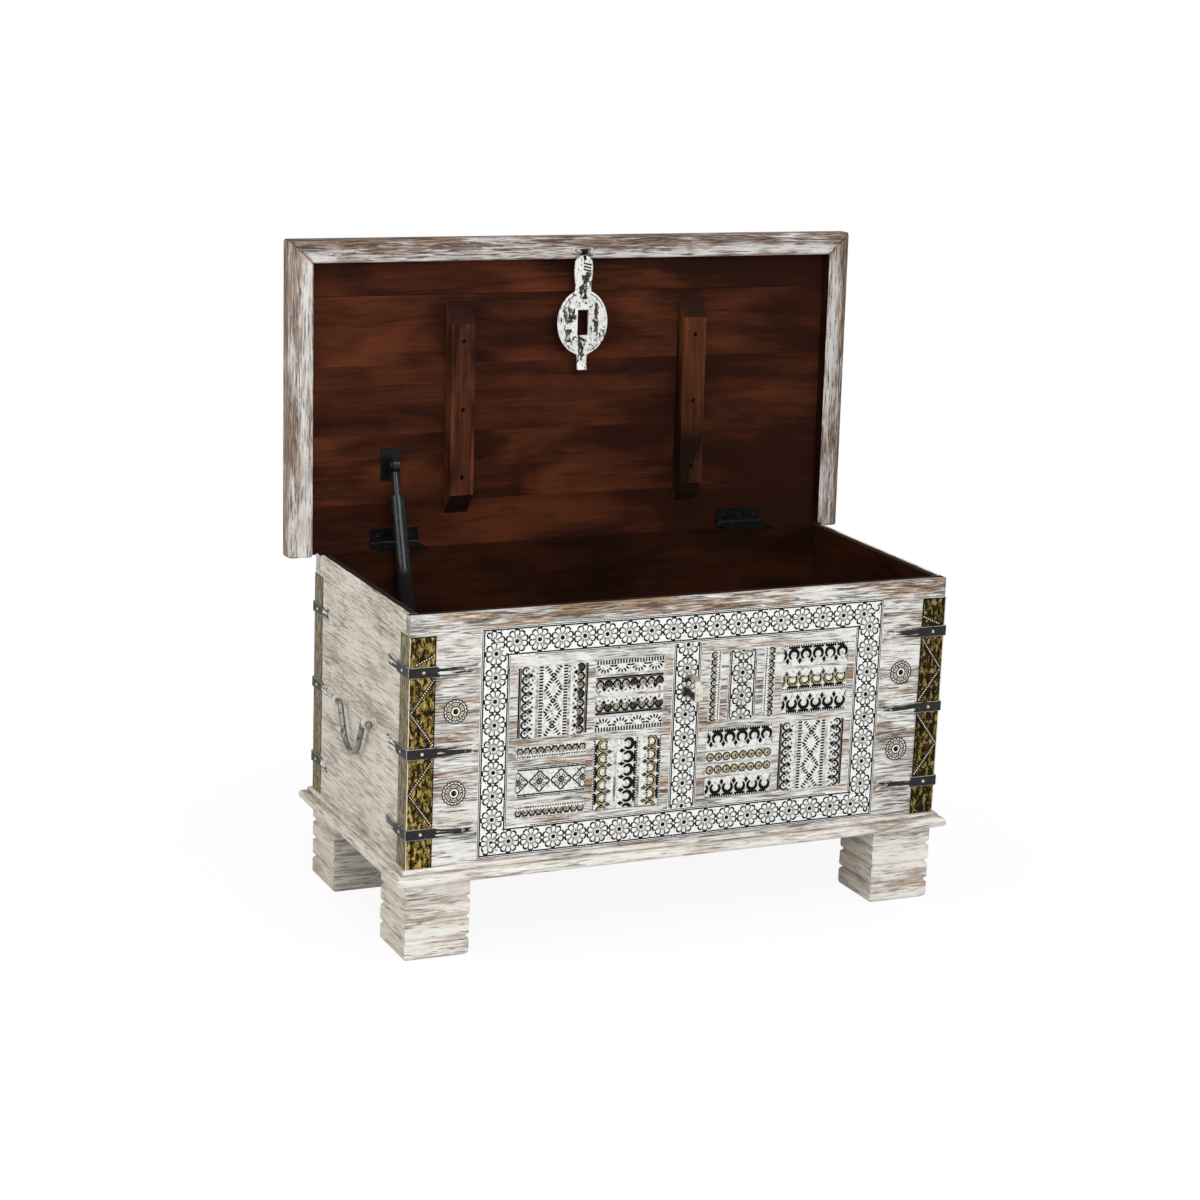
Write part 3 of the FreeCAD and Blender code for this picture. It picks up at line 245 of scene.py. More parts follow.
@dataclass(frozen=True)
class Whitewash(Finish):
    """Wire-brushed wood under thin white paint that is rubbed through along the grain."""

    grain: Axis
    white: Colour = (0.76, 0.75, 0.72)
    beige: Colour = (0.50, 0.42, 0.35)
    taupe: Colour = (0.25, 0.21, 0.18)
    brown: Colour = (0.31, 0.175, 0.090)
    dark: Colour = (0.045, 0.034, 0.027)
    rubbed: float = 0.0
    lined: float = 0.0
    strength: float = 1.0
    framed: bool = False
    darker_above: float | None = None
    lapped: tuple[Axis, float] | None = None
    stain: Colour = (0.014, 0.0050, 0.0026)

    def make(self) -> bpy.types.Material:
        """Build the finish.

        Returns:
            The material.
        """
        sheet = NodeSheet(self.name, roughness=0.8, specular=0.2)
        streak = sheet.cloud(along(self.grain, 320.0, 24.0), 6.0, 0.68, 0.25)
        hair = sheet.cloud(along(self.grain, 540.0, 27.0), 4.0, 0.62, shift=(3.1, 1.7, 5.3))
        patch = sheet.cloud(along(self.grain, 24.0, 7.0), 3.0, 0.55, shift=(7.0, 2.0, 4.0))
        warmth = sheet.cloud(along(self.grain, 60.0, 11.0), 4.0, 0.6, shift=(1.0, 9.0, 2.0))
        drift = sheet.plus(patch, 0.5, -0.25)
        if self.framed:
            outer = sheet.sum("MAXIMUM", sheet.step(sheet.apart(Axis.X), 0.424, 0.443),
                              sheet.step(sheet.place(Axis.Z), 0.909, 0.928))
            drift, warmth = sheet.plus(outer, 0.085, drift), sheet.plus(outer, 0.13, warmth)
        # Above this height the rub and the warmth rise, so the wood turns darker there.
        if self.darker_above:
            high = sheet.step(sheet.place(Axis.Z), self.darker_above, self.darker_above + 0.006)
            drift, warmth = sheet.plus(high, 0.030, drift), sheet.plus(high, 0.03, warmth)
        rub = sheet.sum("ADD", streak, sheet.sum("ADD", drift, self.rubbed))
        worn = sheet.step(rub, 0.47, 0.61)
        deep = sheet.step(sheet.sum("ADD", hair, sheet.plus(drift, 0.5, self.lined)), 0.560, 0.625)
        colour = sheet.blend(sheet.step(warmth, 0.44, 0.66), self.white, self.beige, 0.42)
        colour = sheet.blend(worn, colour, self.taupe, 0.62 * self.strength)
        rust = sheet.times(worn, sheet.step(warmth, 0.48, 0.59))
        colour = sheet.blend(rust, colour, self.brown, 0.80 * self.strength)
        colour = sheet.blend(deep, colour, self.dark, 0.78 * self.strength)
        edge = sheet.times(sheet.edge(), sheet.step(warmth, 0.4, 0.6))
        colour = sheet.blend(edge, colour, self.brown, 0.5)
        if self.lapped:
            axis, bound = self.lapped
            within = sheet.sum("SUBTRACT", sheet.plus(streak, 0.003, bound - 0.0015), sheet.apart(axis))
            colour = sheet.blend(sheet.step(within, -0.0005, 0.0005), colour, self.stain)
        return sheet.done(colour, sheet.plus(deep, -0.9, sheet.times(rub, -1.6)), 0.0016, 0.8)


@dataclass(frozen=True)
class Stain(Finish):
    """Dark red-brown stain on planed boards, with soft grain, a low sheen and, where asked, painted shade towards +x.
    """

    grain: Axis
    light: Colour = (0.088, 0.0235, 0.0088)
    dark: Colour = (0.019, 0.0052, 0.0026)
    gloss: float = 0.04
    shift: tuple[float, float, float] = (0.0, 0.0, 0.0)
    edge_tone: float = 0.45
    painted_shade_right: float = 0.0
    knot: tuple[float, float, float] | None = None

    def make(self) -> bpy.types.Material:
        """Build the finish.

        Returns:
            The material.
        """
        sheet = NodeSheet(self.name, roughness=0.62, specular=self.gloss)
        cloudy, broad, grain, pores = (
            sheet.cloud(along(self.grain, fine, coarse), detail, rough, twist, self.shift)
            for fine, coarse, detail, rough, twist in (
                (11.0, 5.0, 3.0, 0.5, 0.6), (42.0, 5.0, 4.0, 0.6, 0.9), (260.0, 11.0, 4.0, 0.6, 0.4),
                (900.0, 40.0, 2.0, 0.5, 0.0)))
        tone = sheet.plus(cloudy, 0.62, sheet.plus(broad, 0.34, sheet.times(grain, 0.16)))
        # Painted shade: the tone darkens towards +x, the lid's right-hand side.
        if self.painted_shade_right:
            tone = sheet.plus(sheet.step(sheet.place(Axis.X), -0.30, 0.38), -self.painted_shade_right, tone)
        colour = sheet.blend(sheet.step(tone, 0.42, 0.72), self.dark, self.light)
        colour = sheet.blend(sheet.step(broad, 0.58, 0.72), colour, self.dark, 0.55)
        colour = sheet.blend(sheet.step(pores, 0.6, 0.72), colour, self.dark, 0.4)
        if self.knot:
            scale = (62.0, 62.0, 95.0)
            around = sheet.stretch(scale, tuple(-each * at for each, at in zip(scale, self.knot)))
            away = sheet.add("VectorMath", around, operation="LENGTH").outputs["Value"]
            reach = sheet.plus(broad, 0.9, away)
            colour = sheet.blend(sheet.step(reach, 2.9, 1.6), colour, scaled(self.light, 1.5), 0.5)
            colour = sheet.blend(sheet.step(reach, 1.45, 0.75), colour, self.dark, 0.9)
        colour = sheet.blend(sheet.edge(), colour, scaled(self.dark, self.edge_tone), 0.75)
        return sheet.done(colour, sheet.sum("ADD", grain, pores), 0.0006, 0.35)


@dataclass(frozen=True)
class AgedBrass(Finish):
    """Brass sheet, gilt where it is rubbed, brown-black where it has tarnished and dull on the chest's ends."""

    tarnish: float
    gilt: Colour = (0.44, 0.305, 0.085)
    olive: Colour = (0.13, 0.088, 0.024)
    black: Colour = (0.003, 0.0024, 0.0016)
    bloom: Colour = (0.30, 0.27, 0.19)
    shade: Colour = (0.10, 0.085, 0.05)

    def make(self) -> bpy.types.Material:
        """Build the finish.

        Returns:
            The material.
        """
        sheet = NodeSheet(self.name, roughness=0.55, metallic=0.08, specular=0.04)
        smear = sheet.cloud((240.0, 240.0, 70.0), 5.0, 0.68, 0.4)
        blot = sheet.cloud((170.0, 170.0, 90.0), 5.0, 0.72, shift=(4.0, 2.0, 8.0))
        colour = sheet.blend(sheet.step(smear, 0.43, 0.58), self.olive, self.gilt)
        dark = sheet.step(blot, 0.475 - self.tarnish, 0.545 - self.tarnish)
        colour = sheet.blend(dark, colour, self.black, 0.95)
        dull = sheet.blend(sheet.step(smear, 0.40, 0.62), self.shade, self.bloom)
        colour = sheet.blend(sheet.step(sheet.facing(Axis.X), 0.6, 0.8), colour, dull, 0.8)
        return sheet.done(colour, sheet.sum("ADD", smear, blot), 0.001, 0.4)


@dataclass(frozen=True)
class ForgedIron(Finish):
    """Hammered dark iron with rubbed edges, whitewashed towards the straps' tails."""

    iron: Colour = (0.013, 0.0125, 0.013)
    rubbed: Colour = (0.55, 0.53, 0.48)
    white: Colour = (0.74, 0.73, 0.70)
    corner: Pair = (0.411, 0.1935)

    def make(self) -> bpy.types.Material:
        """Build the finish.

        Returns:
            The material.
        """
        sheet = NodeSheet(self.name, roughness=0.5, metallic=0.2, specular=0.3)
        hammer = sheet.cloud(160.0, 3.0, 0.5)
        scuff = sheet.cloud(420.0, 4.0, 0.65, shift=(2.0, 5.0, 1.0))
        colour = sheet.blend(sheet.step(scuff, 0.6, 0.8), self.iron, self.rubbed, 0.4)
        edge = sheet.times(sheet.edge(), sheet.step(hammer, 0.34, 0.48))
        colour = sheet.blend(edge, colour, self.rubbed, 0.9)
        across, deep = (sheet.sum("SUBTRACT", bound, sheet.apart(axis)) for bound, axis in zip(self.corner, Axis))
        reach = sheet.sum("MAXIMUM", across, deep)
        splash = sheet.cloud((13.0, 13.0, 260.0), 5.0, 0.6, shift=(5.0, 3.0, 1.3))
        bare = sheet.plus(sheet.step(reach, 0.034, 0.044), 0.30, splash)
        cover = sheet.plus(sheet.step(reach, 0.070, 0.100), 0.05, bare)
        colour = sheet.blend(sheet.step(cover, 0.790, 0.850), colour, self.white, 0.85)
        return sheet.done(colour, sheet.plus(scuff, 0.3, hammer), 0.0016, 0.5)


@dataclass(frozen=True)
class WornPaint(Finish):
    """White paint over dark metal, soiled, chipped at random and worn away in given oval patches."""

    white: Colour
    under: Colour
    soil: Colour = (0.42, 0.40, 0.38)
    chipped: float = 0.60
    size: float = 55.0
    tall: float = 1.0
    soiled: float = 0.45
    soil_from: float = 0.50
    soil_size: float = 140.0
    patches: tuple[tuple[float, float, float, float], ...] = ()
    patch_tone: Colour = (0.060, 0.048, 0.034)

    def make(self) -> bpy.types.Material:
        """Build the finish.

        Returns:
            The material.
        """
        sheet = NodeSheet(self.name, roughness=0.55, specular=0.15)
        flake = sheet.cloud(
            (self.size, self.size, self.size / self.tall), 6.0, 0.68, 0.5, (1.7, 0.4, 2.9))
        dirt = sheet.cloud(self.soil_size, 4.0, 0.6, shift=(6.0, 1.0, 3.0))
        soil = sheet.step(dirt, self.soil_from, self.soil_from + 0.24)
        colour = sheet.blend(soil, self.white, self.soil, self.soiled)
        chip = sheet.step(flake, self.chipped, self.chipped + 0.025)
        bare = sheet.blend(sheet.step(dirt, 0.42, 0.60), self.under, self.patch_tone)
        for x, z, half_x, half_z in self.patches:
            across, up = (
                sheet.sum("DIVIDE", sheet.sum("SUBTRACT", sheet.place(axis), middle), half)
                for axis, middle, half in ((Axis.X, x, half_x), (Axis.Z, z, half_z)))
            away = sheet.plus(up, up, sheet.times(across, across))
            ragged = sheet.plus(sheet.sum("SUBTRACT", flake, 0.5), -11.0, away)
            colour = sheet.blend(sheet.step(ragged, 1.15, 0.85), colour, bare)
        return sheet.done(
            sheet.blend(chip, colour, self.under), sheet.plus(chip, -0.7, dirt), 0.0006, 0.5)


@dataclass(frozen=True)
class Rubbed(Finish):
    """One colour of metal or ink that is rubbed unevenly to a second, and may turn near black and dull low down as
    painted shadow.
    """

    first: Colour
    second: Colour
    low: float = 0.45
    high: float = 0.7
    size: float = 180.0
    roughness: float = 0.5
    metallic: float = 0.0
    gloss: float = 0.08
    painted_shadow_below: float | None = None
    painted_shadow: Colour = (0.0016, 0.0012, 0.0010)
    painted_shadow_roughness: float = 0.95

    def make(self) -> bpy.types.Material:
        """Build the finish.

        Returns:
            The material.
        """
        sheet = NodeSheet(self.name, self.roughness, self.metallic, self.gloss)
        rub = sheet.cloud(self.size, 4.0, 0.62, 0.3)
        colour = sheet.blend(sheet.step(rub, self.low, self.high), self.first, self.second)
        # Painted shadow: below the height the colour goes near black and the surface goes dull.
        if self.painted_shadow_below:
            shown = sheet.step(sheet.place(Axis.Z), self.painted_shadow_below - 0.012, self.painted_shadow_below + 0.004)
            colour = sheet.blend(shown, self.painted_shadow, colour)
            dull = sheet.plus(shown, self.roughness - self.painted_shadow_roughness, self.painted_shadow_roughness)
            sheet.feed(sheet.surface.inputs["Roughness"], dull)
        return sheet.done(colour, rub, 0.0006, 0.3)


@cache
def made(finish: Finish) -> bpy.types.Material:
    """Make a finish's material, once."""
    return finish.make()


FRONT_WOOD = Whitewash("whitewash_along", Axis.X, (0.74, 0.73, 0.70), rubbed=0.034, lined=0.020, darker_above=0.461)
SIDE_WOOD = Whitewash(
    "whitewash_deep", Axis.Y, (0.70, 0.65, 0.565), (0.55, 0.46, 0.36), (0.36, 0.30, 0.24), (0.38, 0.28, 0.20),
    (0.20, 0.165, 0.13), rubbed=-0.005, lined=-0.005, strength=0.75)
FOOT_WOOD = Whitewash(
    "whitewash_foot", Axis.X, (0.76, 0.735, 0.68), (0.56, 0.48, 0.40), (0.38, 0.32, 0.27), (0.33, 0.22, 0.15),
    (0.10, 0.08, 0.06), rubbed=-0.01, lined=-0.02, strength=0.85)
RAIL_WOOD = Whitewash(
    "whitewash_rail", Axis.X, (0.60, 0.575, 0.56), (0.30, 0.235, 0.19), (0.20, 0.155, 0.135), (0.19, 0.115, 0.07),
    rubbed=0.02, framed=True)
SIDE_RAIL_WOOD = {
    "left": Whitewash(
        "whitewash_rail_side", Axis.Z, (0.64, 0.61, 0.585), (0.36, 0.285, 0.23), (0.24, 0.19, 0.155),
        (0.22, 0.135, 0.085), rubbed=0.01, strength=0.82, framed=True),
    # The right rail's whitewash is a darker copy of the left one's: darker whites as painted shade, with a little more
    # wear.
    "right": Whitewash(
        "whitewash_shade_and_wear_rail", Axis.Z, (0.54, 0.51, 0.485), (0.31, 0.245, 0.20), (0.20, 0.16, 0.13),
        (0.19, 0.115, 0.07), rubbed=0.02, lined=0.01, framed=True),
}
RIM_WOOD = Whitewash(
    "whitewash_rim", Axis.X, (0.70, 0.67, 0.62), (0.48, 0.36, 0.25), rubbed=0.03, lined=0.01, lapped=(Axis.Y, 0.1885))
SIDE_RIM_WOOD = Whitewash(
    "whitewash_side_rim", Axis.Y, (0.70, 0.65, 0.565), (0.50, 0.40, 0.30), lapped=(Axis.X, 0.4055))
# The inside takes a dark stain made darker still: the stain itself, and painted shade for the chest's shaded inside.
INSIDE_ALONG, INSIDE_DEEP = (
    Stain(name, axis, (0.034, 0.0098, 0.0042), (0.009, 0.0030, 0.0016), 0.03)
    for name, axis in (("stain_and_shade_inside_along", Axis.X), ("stain_and_shade_inside_deep", Axis.Y)))
BATTEN_WOOD = {
    # Both battens' eased edges take a lighter edge tone than other stains' edges: a painted highlight.
    "left": Stain("stain_batten", Axis.Z, (0.165, 0.047, 0.0185), (0.013, 0.0042, 0.0023), 0.06, edge_tone=3.2),
    # The right batten's stain is a darker copy of the left one's: painted shade.
    "right": Stain(
        "stain_and_shade_batten", Axis.Z, (0.150, 0.043, 0.0170), (0.010, 0.0036, 0.002), 0.05, (0.4, 1.1, 2.3),
        edge_tone=3.0, painted_shade_right=0.05),
}
# The rails' inner faces take a very dark brown, near the chest's inside.
RAIL_INSIDE = Stain("dark_rail_inside", Axis.Z, (0.026, 0.0080, 0.0036), (0.008, 0.0026, 0.0014), 0.03)
BATTEN_END = Stain("stain_batten_end", Axis.X, (0.026, 0.009, 0.0050), (0.008, 0.003, 0.002))
BRASS = AgedBrass("aged_brass", 0.014)
TARNISHED_BRASS = AgedBrass("tarnished_brass", 0.055, gilt=(0.33, 0.23, 0.070))
STRAP_IRON = ForgedIron("strap_iron")
HANDLE_IRON = Rubbed("handle_iron", (0.20, 0.197, 0.183), (0.030, 0.028, 0.026), 0.54, 0.64, 85.0, 0.22, 0.65, 0.5)
EYE_PAINT = WornPaint("eye_paint", (0.62, 0.57, 0.49), (0.22, 0.19, 0.15))
BLACK_METAL = Rubbed(
    "black_metal", (0.0032, 0.0034, 0.0037), (0.009, 0.0096, 0.0104), roughness=0.26, gloss=0.16)
# The stay's barrel is painted near black and dull below 0.466 m: a painted shadow.
STAY_METAL = Rubbed(
    "stay_metal", (0.006, 0.0066, 0.0072), (0.020, 0.022, 0.024), roughness=0.24, gloss=0.3, painted_shadow_below=0.466)
DULL_STEEL = Rubbed("dull_steel", (0.11, 0.105, 0.10), (0.26, 0.25, 0.24), metallic=0.7)
DARK_SCREW = Rubbed("dark_screw", (0.012, 0.009, 0.008), (0.035, 0.03, 0.028), metallic=0.4)
STRIP_PAINT = WornPaint(
    "strip_paint", (0.70, 0.70, 0.67), (0.16, 0.14, 0.11), (0.24, 0.23, 0.20), size=170.0, soiled=0.75,
    soil_from=0.46, soil_size=230.0)
BORDER_PAINT = WornPaint(
    "border_paint", (0.77, 0.77, 0.74), (0.20, 0.18, 0.15), (0.34, 0.33, 0.30), 0.62, size=170.0, soiled=0.55,
    soil_from=0.49, soil_size=200.0)
STAPLE_METALS = (
    Rubbed("staple_steel", (0.60, 0.575, 0.49), (0.20, 0.17, 0.12), 0.56, 0.66, 150.0, 0.42, 0.1),
    Rubbed("grime_and_shadow", (0.035, 0.030, 0.024), (0.30, 0.28, 0.24), 0.50, 0.62, 150.0, 0.8),
    Rubbed("staple_shank", (0.075, 0.062, 0.042), (0.012, 0.010, 0.008), 0.44, 0.58, 170.0, 0.45, 0.2),
    Rubbed("staple_arch", (0.30, 0.285, 0.24), (0.09, 0.08, 0.06), 0.48, 0.62, 190.0, 0.42, 0.2),
)
RELIEF = (
    Rubbed("strip_ink", (0.006, 0.006, 0.006), (0.06, 0.058, 0.052), 0.60, 0.76, 240.0, 0.6),
    Rubbed("crescent_ink", (0.005, 0.005, 0.005), (0.04, 0.038, 0.034), 0.60, 0.76, 240.0),
    Rubbed("strip_gilt", (0.40, 0.30, 0.11), (0.05, 0.038, 0.014), 0.50, 0.66, 260.0, 0.42, 0.2),
    Rubbed("curl_umber", (0.085, 0.068, 0.036), (0.014, 0.012, 0.009), 0.46, 0.62, 260.0, 0.5),
    Rubbed("rubbed_brass_and_highlight", (0.66, 0.61, 0.48), (0.22, 0.165, 0.08), 0.54, 0.68),
    Rubbed("curl_tan", (0.42, 0.39, 0.29), (0.15, 0.12, 0.06), 0.47, 0.60, 300.0, 0.5),
)
STRIP_RELIEF, BORDER_RELIEF = (STRIP_PAINT, *RELIEF), (BORDER_PAINT, *RELIEF)


def plank(number: int) -> Stain:
    """Give the stain of one of the lid's boards, each cut from another tree.

    Args:
        number: The board's place from the back.

    Returns:
        The finish.
    """
    tone = (0.92, 1.06, 0.84, 1.0, 1.12)[number % 5]
    knot = (-0.113, 0.197, 0.655) if number == 1 else None
    shift = (3.7 * number, 1.3, 2.9 * number)
    # Every board takes painted shade towards the lid's right-hand side.
    return Stain(f"stain_plank_{number}", Axis.X, scaled(Stain.light, tone), shift=shift, painted_shade_right=0.075, knot=knot)


class Tone(IntEnum):
    """Which finish a stretch of stamped relief takes."""

    PAINT = 0
    INK = 1
    BLACK = 2
    GILT = 3
    UMBER = 4
    RUBBED_AND_HIGHLIGHT = 5
    CURL = 6


@dataclass(frozen=True)
class Lay:
    """A flat face that relief is laid on: a corner and three directions."""

    origin: Vector
    along: Vector
    across: Vector
    out: Vector

    def put(self, flat: np.ndarray, height: np.ndarray) -> np.ndarray:
        """Carry flat points, each standing off by its height, into the chest's frame."""
        directions = np.array([self.along, self.across])
        return np.array(self.origin) + flat @ directions + height[:, None] * np.array(self.out)

    def lifted(self, by: float) -> "Lay":
        """Give the same face a little further out."""
        return Lay(self.origin + self.out * by, self.along, self.across, self.out)


def front_lay(x: float, y: float, z: float) -> Lay:
    """Give a face that looks forward and runs to the right and up from a corner."""
    return Lay(Vector((x, y, z)), RIGHT, UP, FRONT)


class Shape:
    """Points and faces of one piece, gathered before they become a mesh."""

    RIDGE = ((-0.5, 0.0), (-0.26, 1.0), (0.26, 1.0), (0.5, 0.0))
    RIDGE_LIFT, DOME_LIFT = 0.00004, 0.00003

    def __init__(self) -> None:
        """Start with nothing."""
        self.points: list[np.ndarray] = []
        self.faces: list[tuple[int, ...]] = []
        self.tones: list[int] = []
        self.count = 0

    def add(self, points: np.ndarray, faces: Sequence[Sequence[int]], tones: Sequence[int]) -> None:
        """Take in points and the faces between them.

        Args:
            points: The new points, one row each.
            faces: The new faces, numbered from the first new point.
            tones: The finish that each face takes.
        """
        self.faces += [tuple(self.count + corner for corner in face) for face in faces]
        self.tones += [int(tone) for tone in tones]
        self.points.append(points)
        self.count += len(points)

    def join(self, other: "Shape") -> None:
        """Take in all of another shape."""
        self.add(np.concatenate(other.points), other.faces, other.tones)

    def stroke(self, lay: Lay, path: np.ndarray, width: object, height: float, tone: int,
               closed: bool = False) -> None:
        """Lay a low ridge along a path.

        Args:
            lay: The face it lies on.
            path: Points on the face, one row each.
            width: The ridge's width, one number or one for each point.
            height: How far its crest stands off the face.
            tone: The finish that it takes.
            closed: Whether the path ends where it starts.
        """
        size, across = len(path), len(self.RIDGE)
        run = np.roll(path, -1, 0) - np.roll(path, 1, 0) if closed else np.gradient(path, axis=0)
        run /= np.maximum(np.linalg.norm(run, axis=1, keepdims=True), 1e-9)
        left = np.stack([-run[:, 1], run[:, 0]], 1)
        widths = np.broadcast_to(np.asarray(width, float), (size,))[:, None]
        rows = [lay.put(path + left * widths * side, np.full(size, height * rise + self.RIDGE_LIFT))
                for side, rise in self.RIDGE]
        faces = []
        for i in range(size if closed else size - 1):
            here, there = i * across, ((i + 1) % size) * across
            faces += [(here + j, there + j, there + j + 1, here + j + 1) for j in range(across - 1)]
        self.add(np.stack(rows, 1).reshape(-1, 3), faces, [tone] * len(faces))

    def dome(self, lay: Lay, centre: Sequence[float], radii: float | Pair, height: float, tone: int,
             sides: int = 12, rings: int = 3, turn: float = 0.0) -> None:
        """Raise a round or oval dome.

        Args:
            lay: The face it stands on.
            centre: Its middle on the face.
            radii: Its radius, or its reach along and across before it is turned.
            height: Its height.
            tone: The finish that it takes.
            sides: How many sides each ring has.
            rings: How many rings it has.
            turn: How far it is turned, in radians.
        """
        wide, deep = radii if isinstance(radii, tuple) else (radii, radii)
        angles = np.arange(sides) * math.tau / sides
        flat, heights = [], []
        for ring in range(rings):
            reach = math.cos(ring / rings * math.pi / 2)
            flat.append(np.stack([np.cos(angles) * wide * reach, np.sin(angles) * deep * reach], 1))
            heights.append(np.full(sides, height * math.sin(ring / rings * math.pi / 2) + self.DOME_LIFT))
        flat.append(np.zeros((1, 2)))
        heights.append(np.array([height + self.DOME_LIFT]))
        way, side = compass(turn)
        spun = np.concatenate(flat) @ np.array([way, side]) + np.asarray(centre, float)
        faces = []
        for low in range(0, (rings - 1) * sides, sides):
            for i in range(sides):
                after = low + (i + 1) % sides
                faces.append((low + i, after, after + sides, low + sides + i))
        last, top = (rings - 1) * sides, rings * sides
        faces += [(last + i, last + (i + 1) % sides, top) for i in range(sides)]
        self.add(lay.put(spun, np.concatenate(heights)), faces, [tone] * len(faces))

    def ring(self, lay: Lay, centre: Sequence[float], radius: float, width: float, height: float, tone: int,
             sides: int) -> None:
        """Lay a closed ring."""
        self.stroke(lay, arc(centre, radius, 0.0, math.tau * (1 - 1 / sides), sides), width, height, tone, closed=True)

    def clipped(self, keep: Test) -> None:
        """Drop the faces whose middles a test refuses.

        Args:
            keep: Takes the middles, one row each, and tells which stay.
        """
        points = np.concatenate(self.points)
        stays = keep(np.array([points[list(face)].mean(0) for face in self.faces]))
        self.faces = [face for face, stay in zip(self.faces, stays) if stay]
        self.tones = [tone for tone, stay in zip(self.tones, stays) if stay]

    def piece(self, name: str, finishes: Sequence[Finish], body: str, slot: str,
              smooth: float = 40.0) -> bpy.types.Object:
        """Make the gathered mesh into a piece that rides on a body.

        Args:
            name: The piece's name.
            finishes: Its finishes, in the order of the tones.
            body: The body that it moves with.
            slot: Not used.
            smooth: Edges sharper than this, in degrees, stay crisp.

        Returns:
            The piece.
        """
        points = np.concatenate(self.points)
        used = sorted({corner for face in self.faces for corner in face})
        renumber = {old: new for new, old in enumerate(used)}
        mesh = bpy.data.meshes.new(name)
        mesh.from_pydata(points[used].tolist(), [], [[renumber[c] for c in face] for face in self.faces])
        coat(mesh, finishes)
        mesh.polygons.foreach_set("material_index", self.tones)
        mesh.update()
        return mounted(mesh, body, smooth)


def coat(mesh: bpy.types.Mesh, finishes: Sequence[Finish]) -> None:
    """Give a mesh its finishes in place of any that it has.

    Args:
        mesh: The mesh.
        finishes: Its finishes, in order.
    """
    mesh.materials.clear()
    for finish in finishes:
        mesh.materials.append(made(finish))


def shown(mesh: bpy.types.Mesh) -> bpy.types.Object:
    """Show a mesh as an object of the same name.

    Args:
        mesh: The mesh.

    Returns:
        The object.
    """
    item = bpy.data.objects.new(mesh.name, mesh)
    bpy.context.scene.collection.objects.link(item)
    return item


def mounted(mesh: bpy.types.Mesh, body: str, smooth: float) -> bpy.types.Object:
    """Show a mesh as a piece that rides on a body.

    Args:
        mesh: The mesh, in the chest's frame.
        body: The body that it moves with.
        smooth: Edges sharper than this, in degrees, stay crisp.

    Returns:
        The piece.
    """
    mesh.shade_smooth()
    mesh.set_sharp_from_angle(angle=math.radians(smooth))
    item = shown(mesh)
    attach(item, body)
    log.info("%s on %s: %d faces", item.name, body, len(mesh.polygons))
    return item


def compass(turn: float) -> tuple[np.ndarray, np.ndarray]:
    """Give the directions along an angle and square to it."""
    return np.array([math.cos(turn), math.sin(turn)]), np.array([-math.sin(turn), math.cos(turn)])


def arc(centre: Sequence[float], radius: float, start: float, end: float, count: int) -> np.ndarray:
    """Give points along a circle's arc, one row each, from one angle to another."""
    angles = np.linspace(start, end, count)
    return np.stack([centre[0] + radius * np.cos(angles), centre[1] + radius * np.sin(angles)], 1)


def swelling(count: int) -> np.ndarray:
    """Give shares that rise from none to all and fall back along a path."""
    return np.sin(np.linspace(0, math.pi, count))


class Motif(Enum):
    """What is stamped along a strip: the strip's method that does it, and what it is told."""

    FLOWERS = ("flower_row",)
    CURLS = ("curls", False)
    OLIVE_CURLS = ("curls", True)
    LATTICE = ("lattice",)
    SCALLOPS = ("scallops",)
    LOOPS = ("loops",)
    DIAMONDS = ("diamonds",)
    BLACK_CRESCENTS = ("crescents", Tone.BLACK)
    GILT_CRESCENTS = ("crescents", Tone.GILT)
    BEADS = ("beads",)


class Run(Enum):
    """Which way a strip runs on the front."""

    LEVEL = "to the right"
    UPRIGHT = "up"


class Place(Enum):
    """Where a block stands in its half of the front."""

    INNER = "by the middle strip"
    OUTER = "by the border"
    TOP = "above"
    BOTTOM = "below"


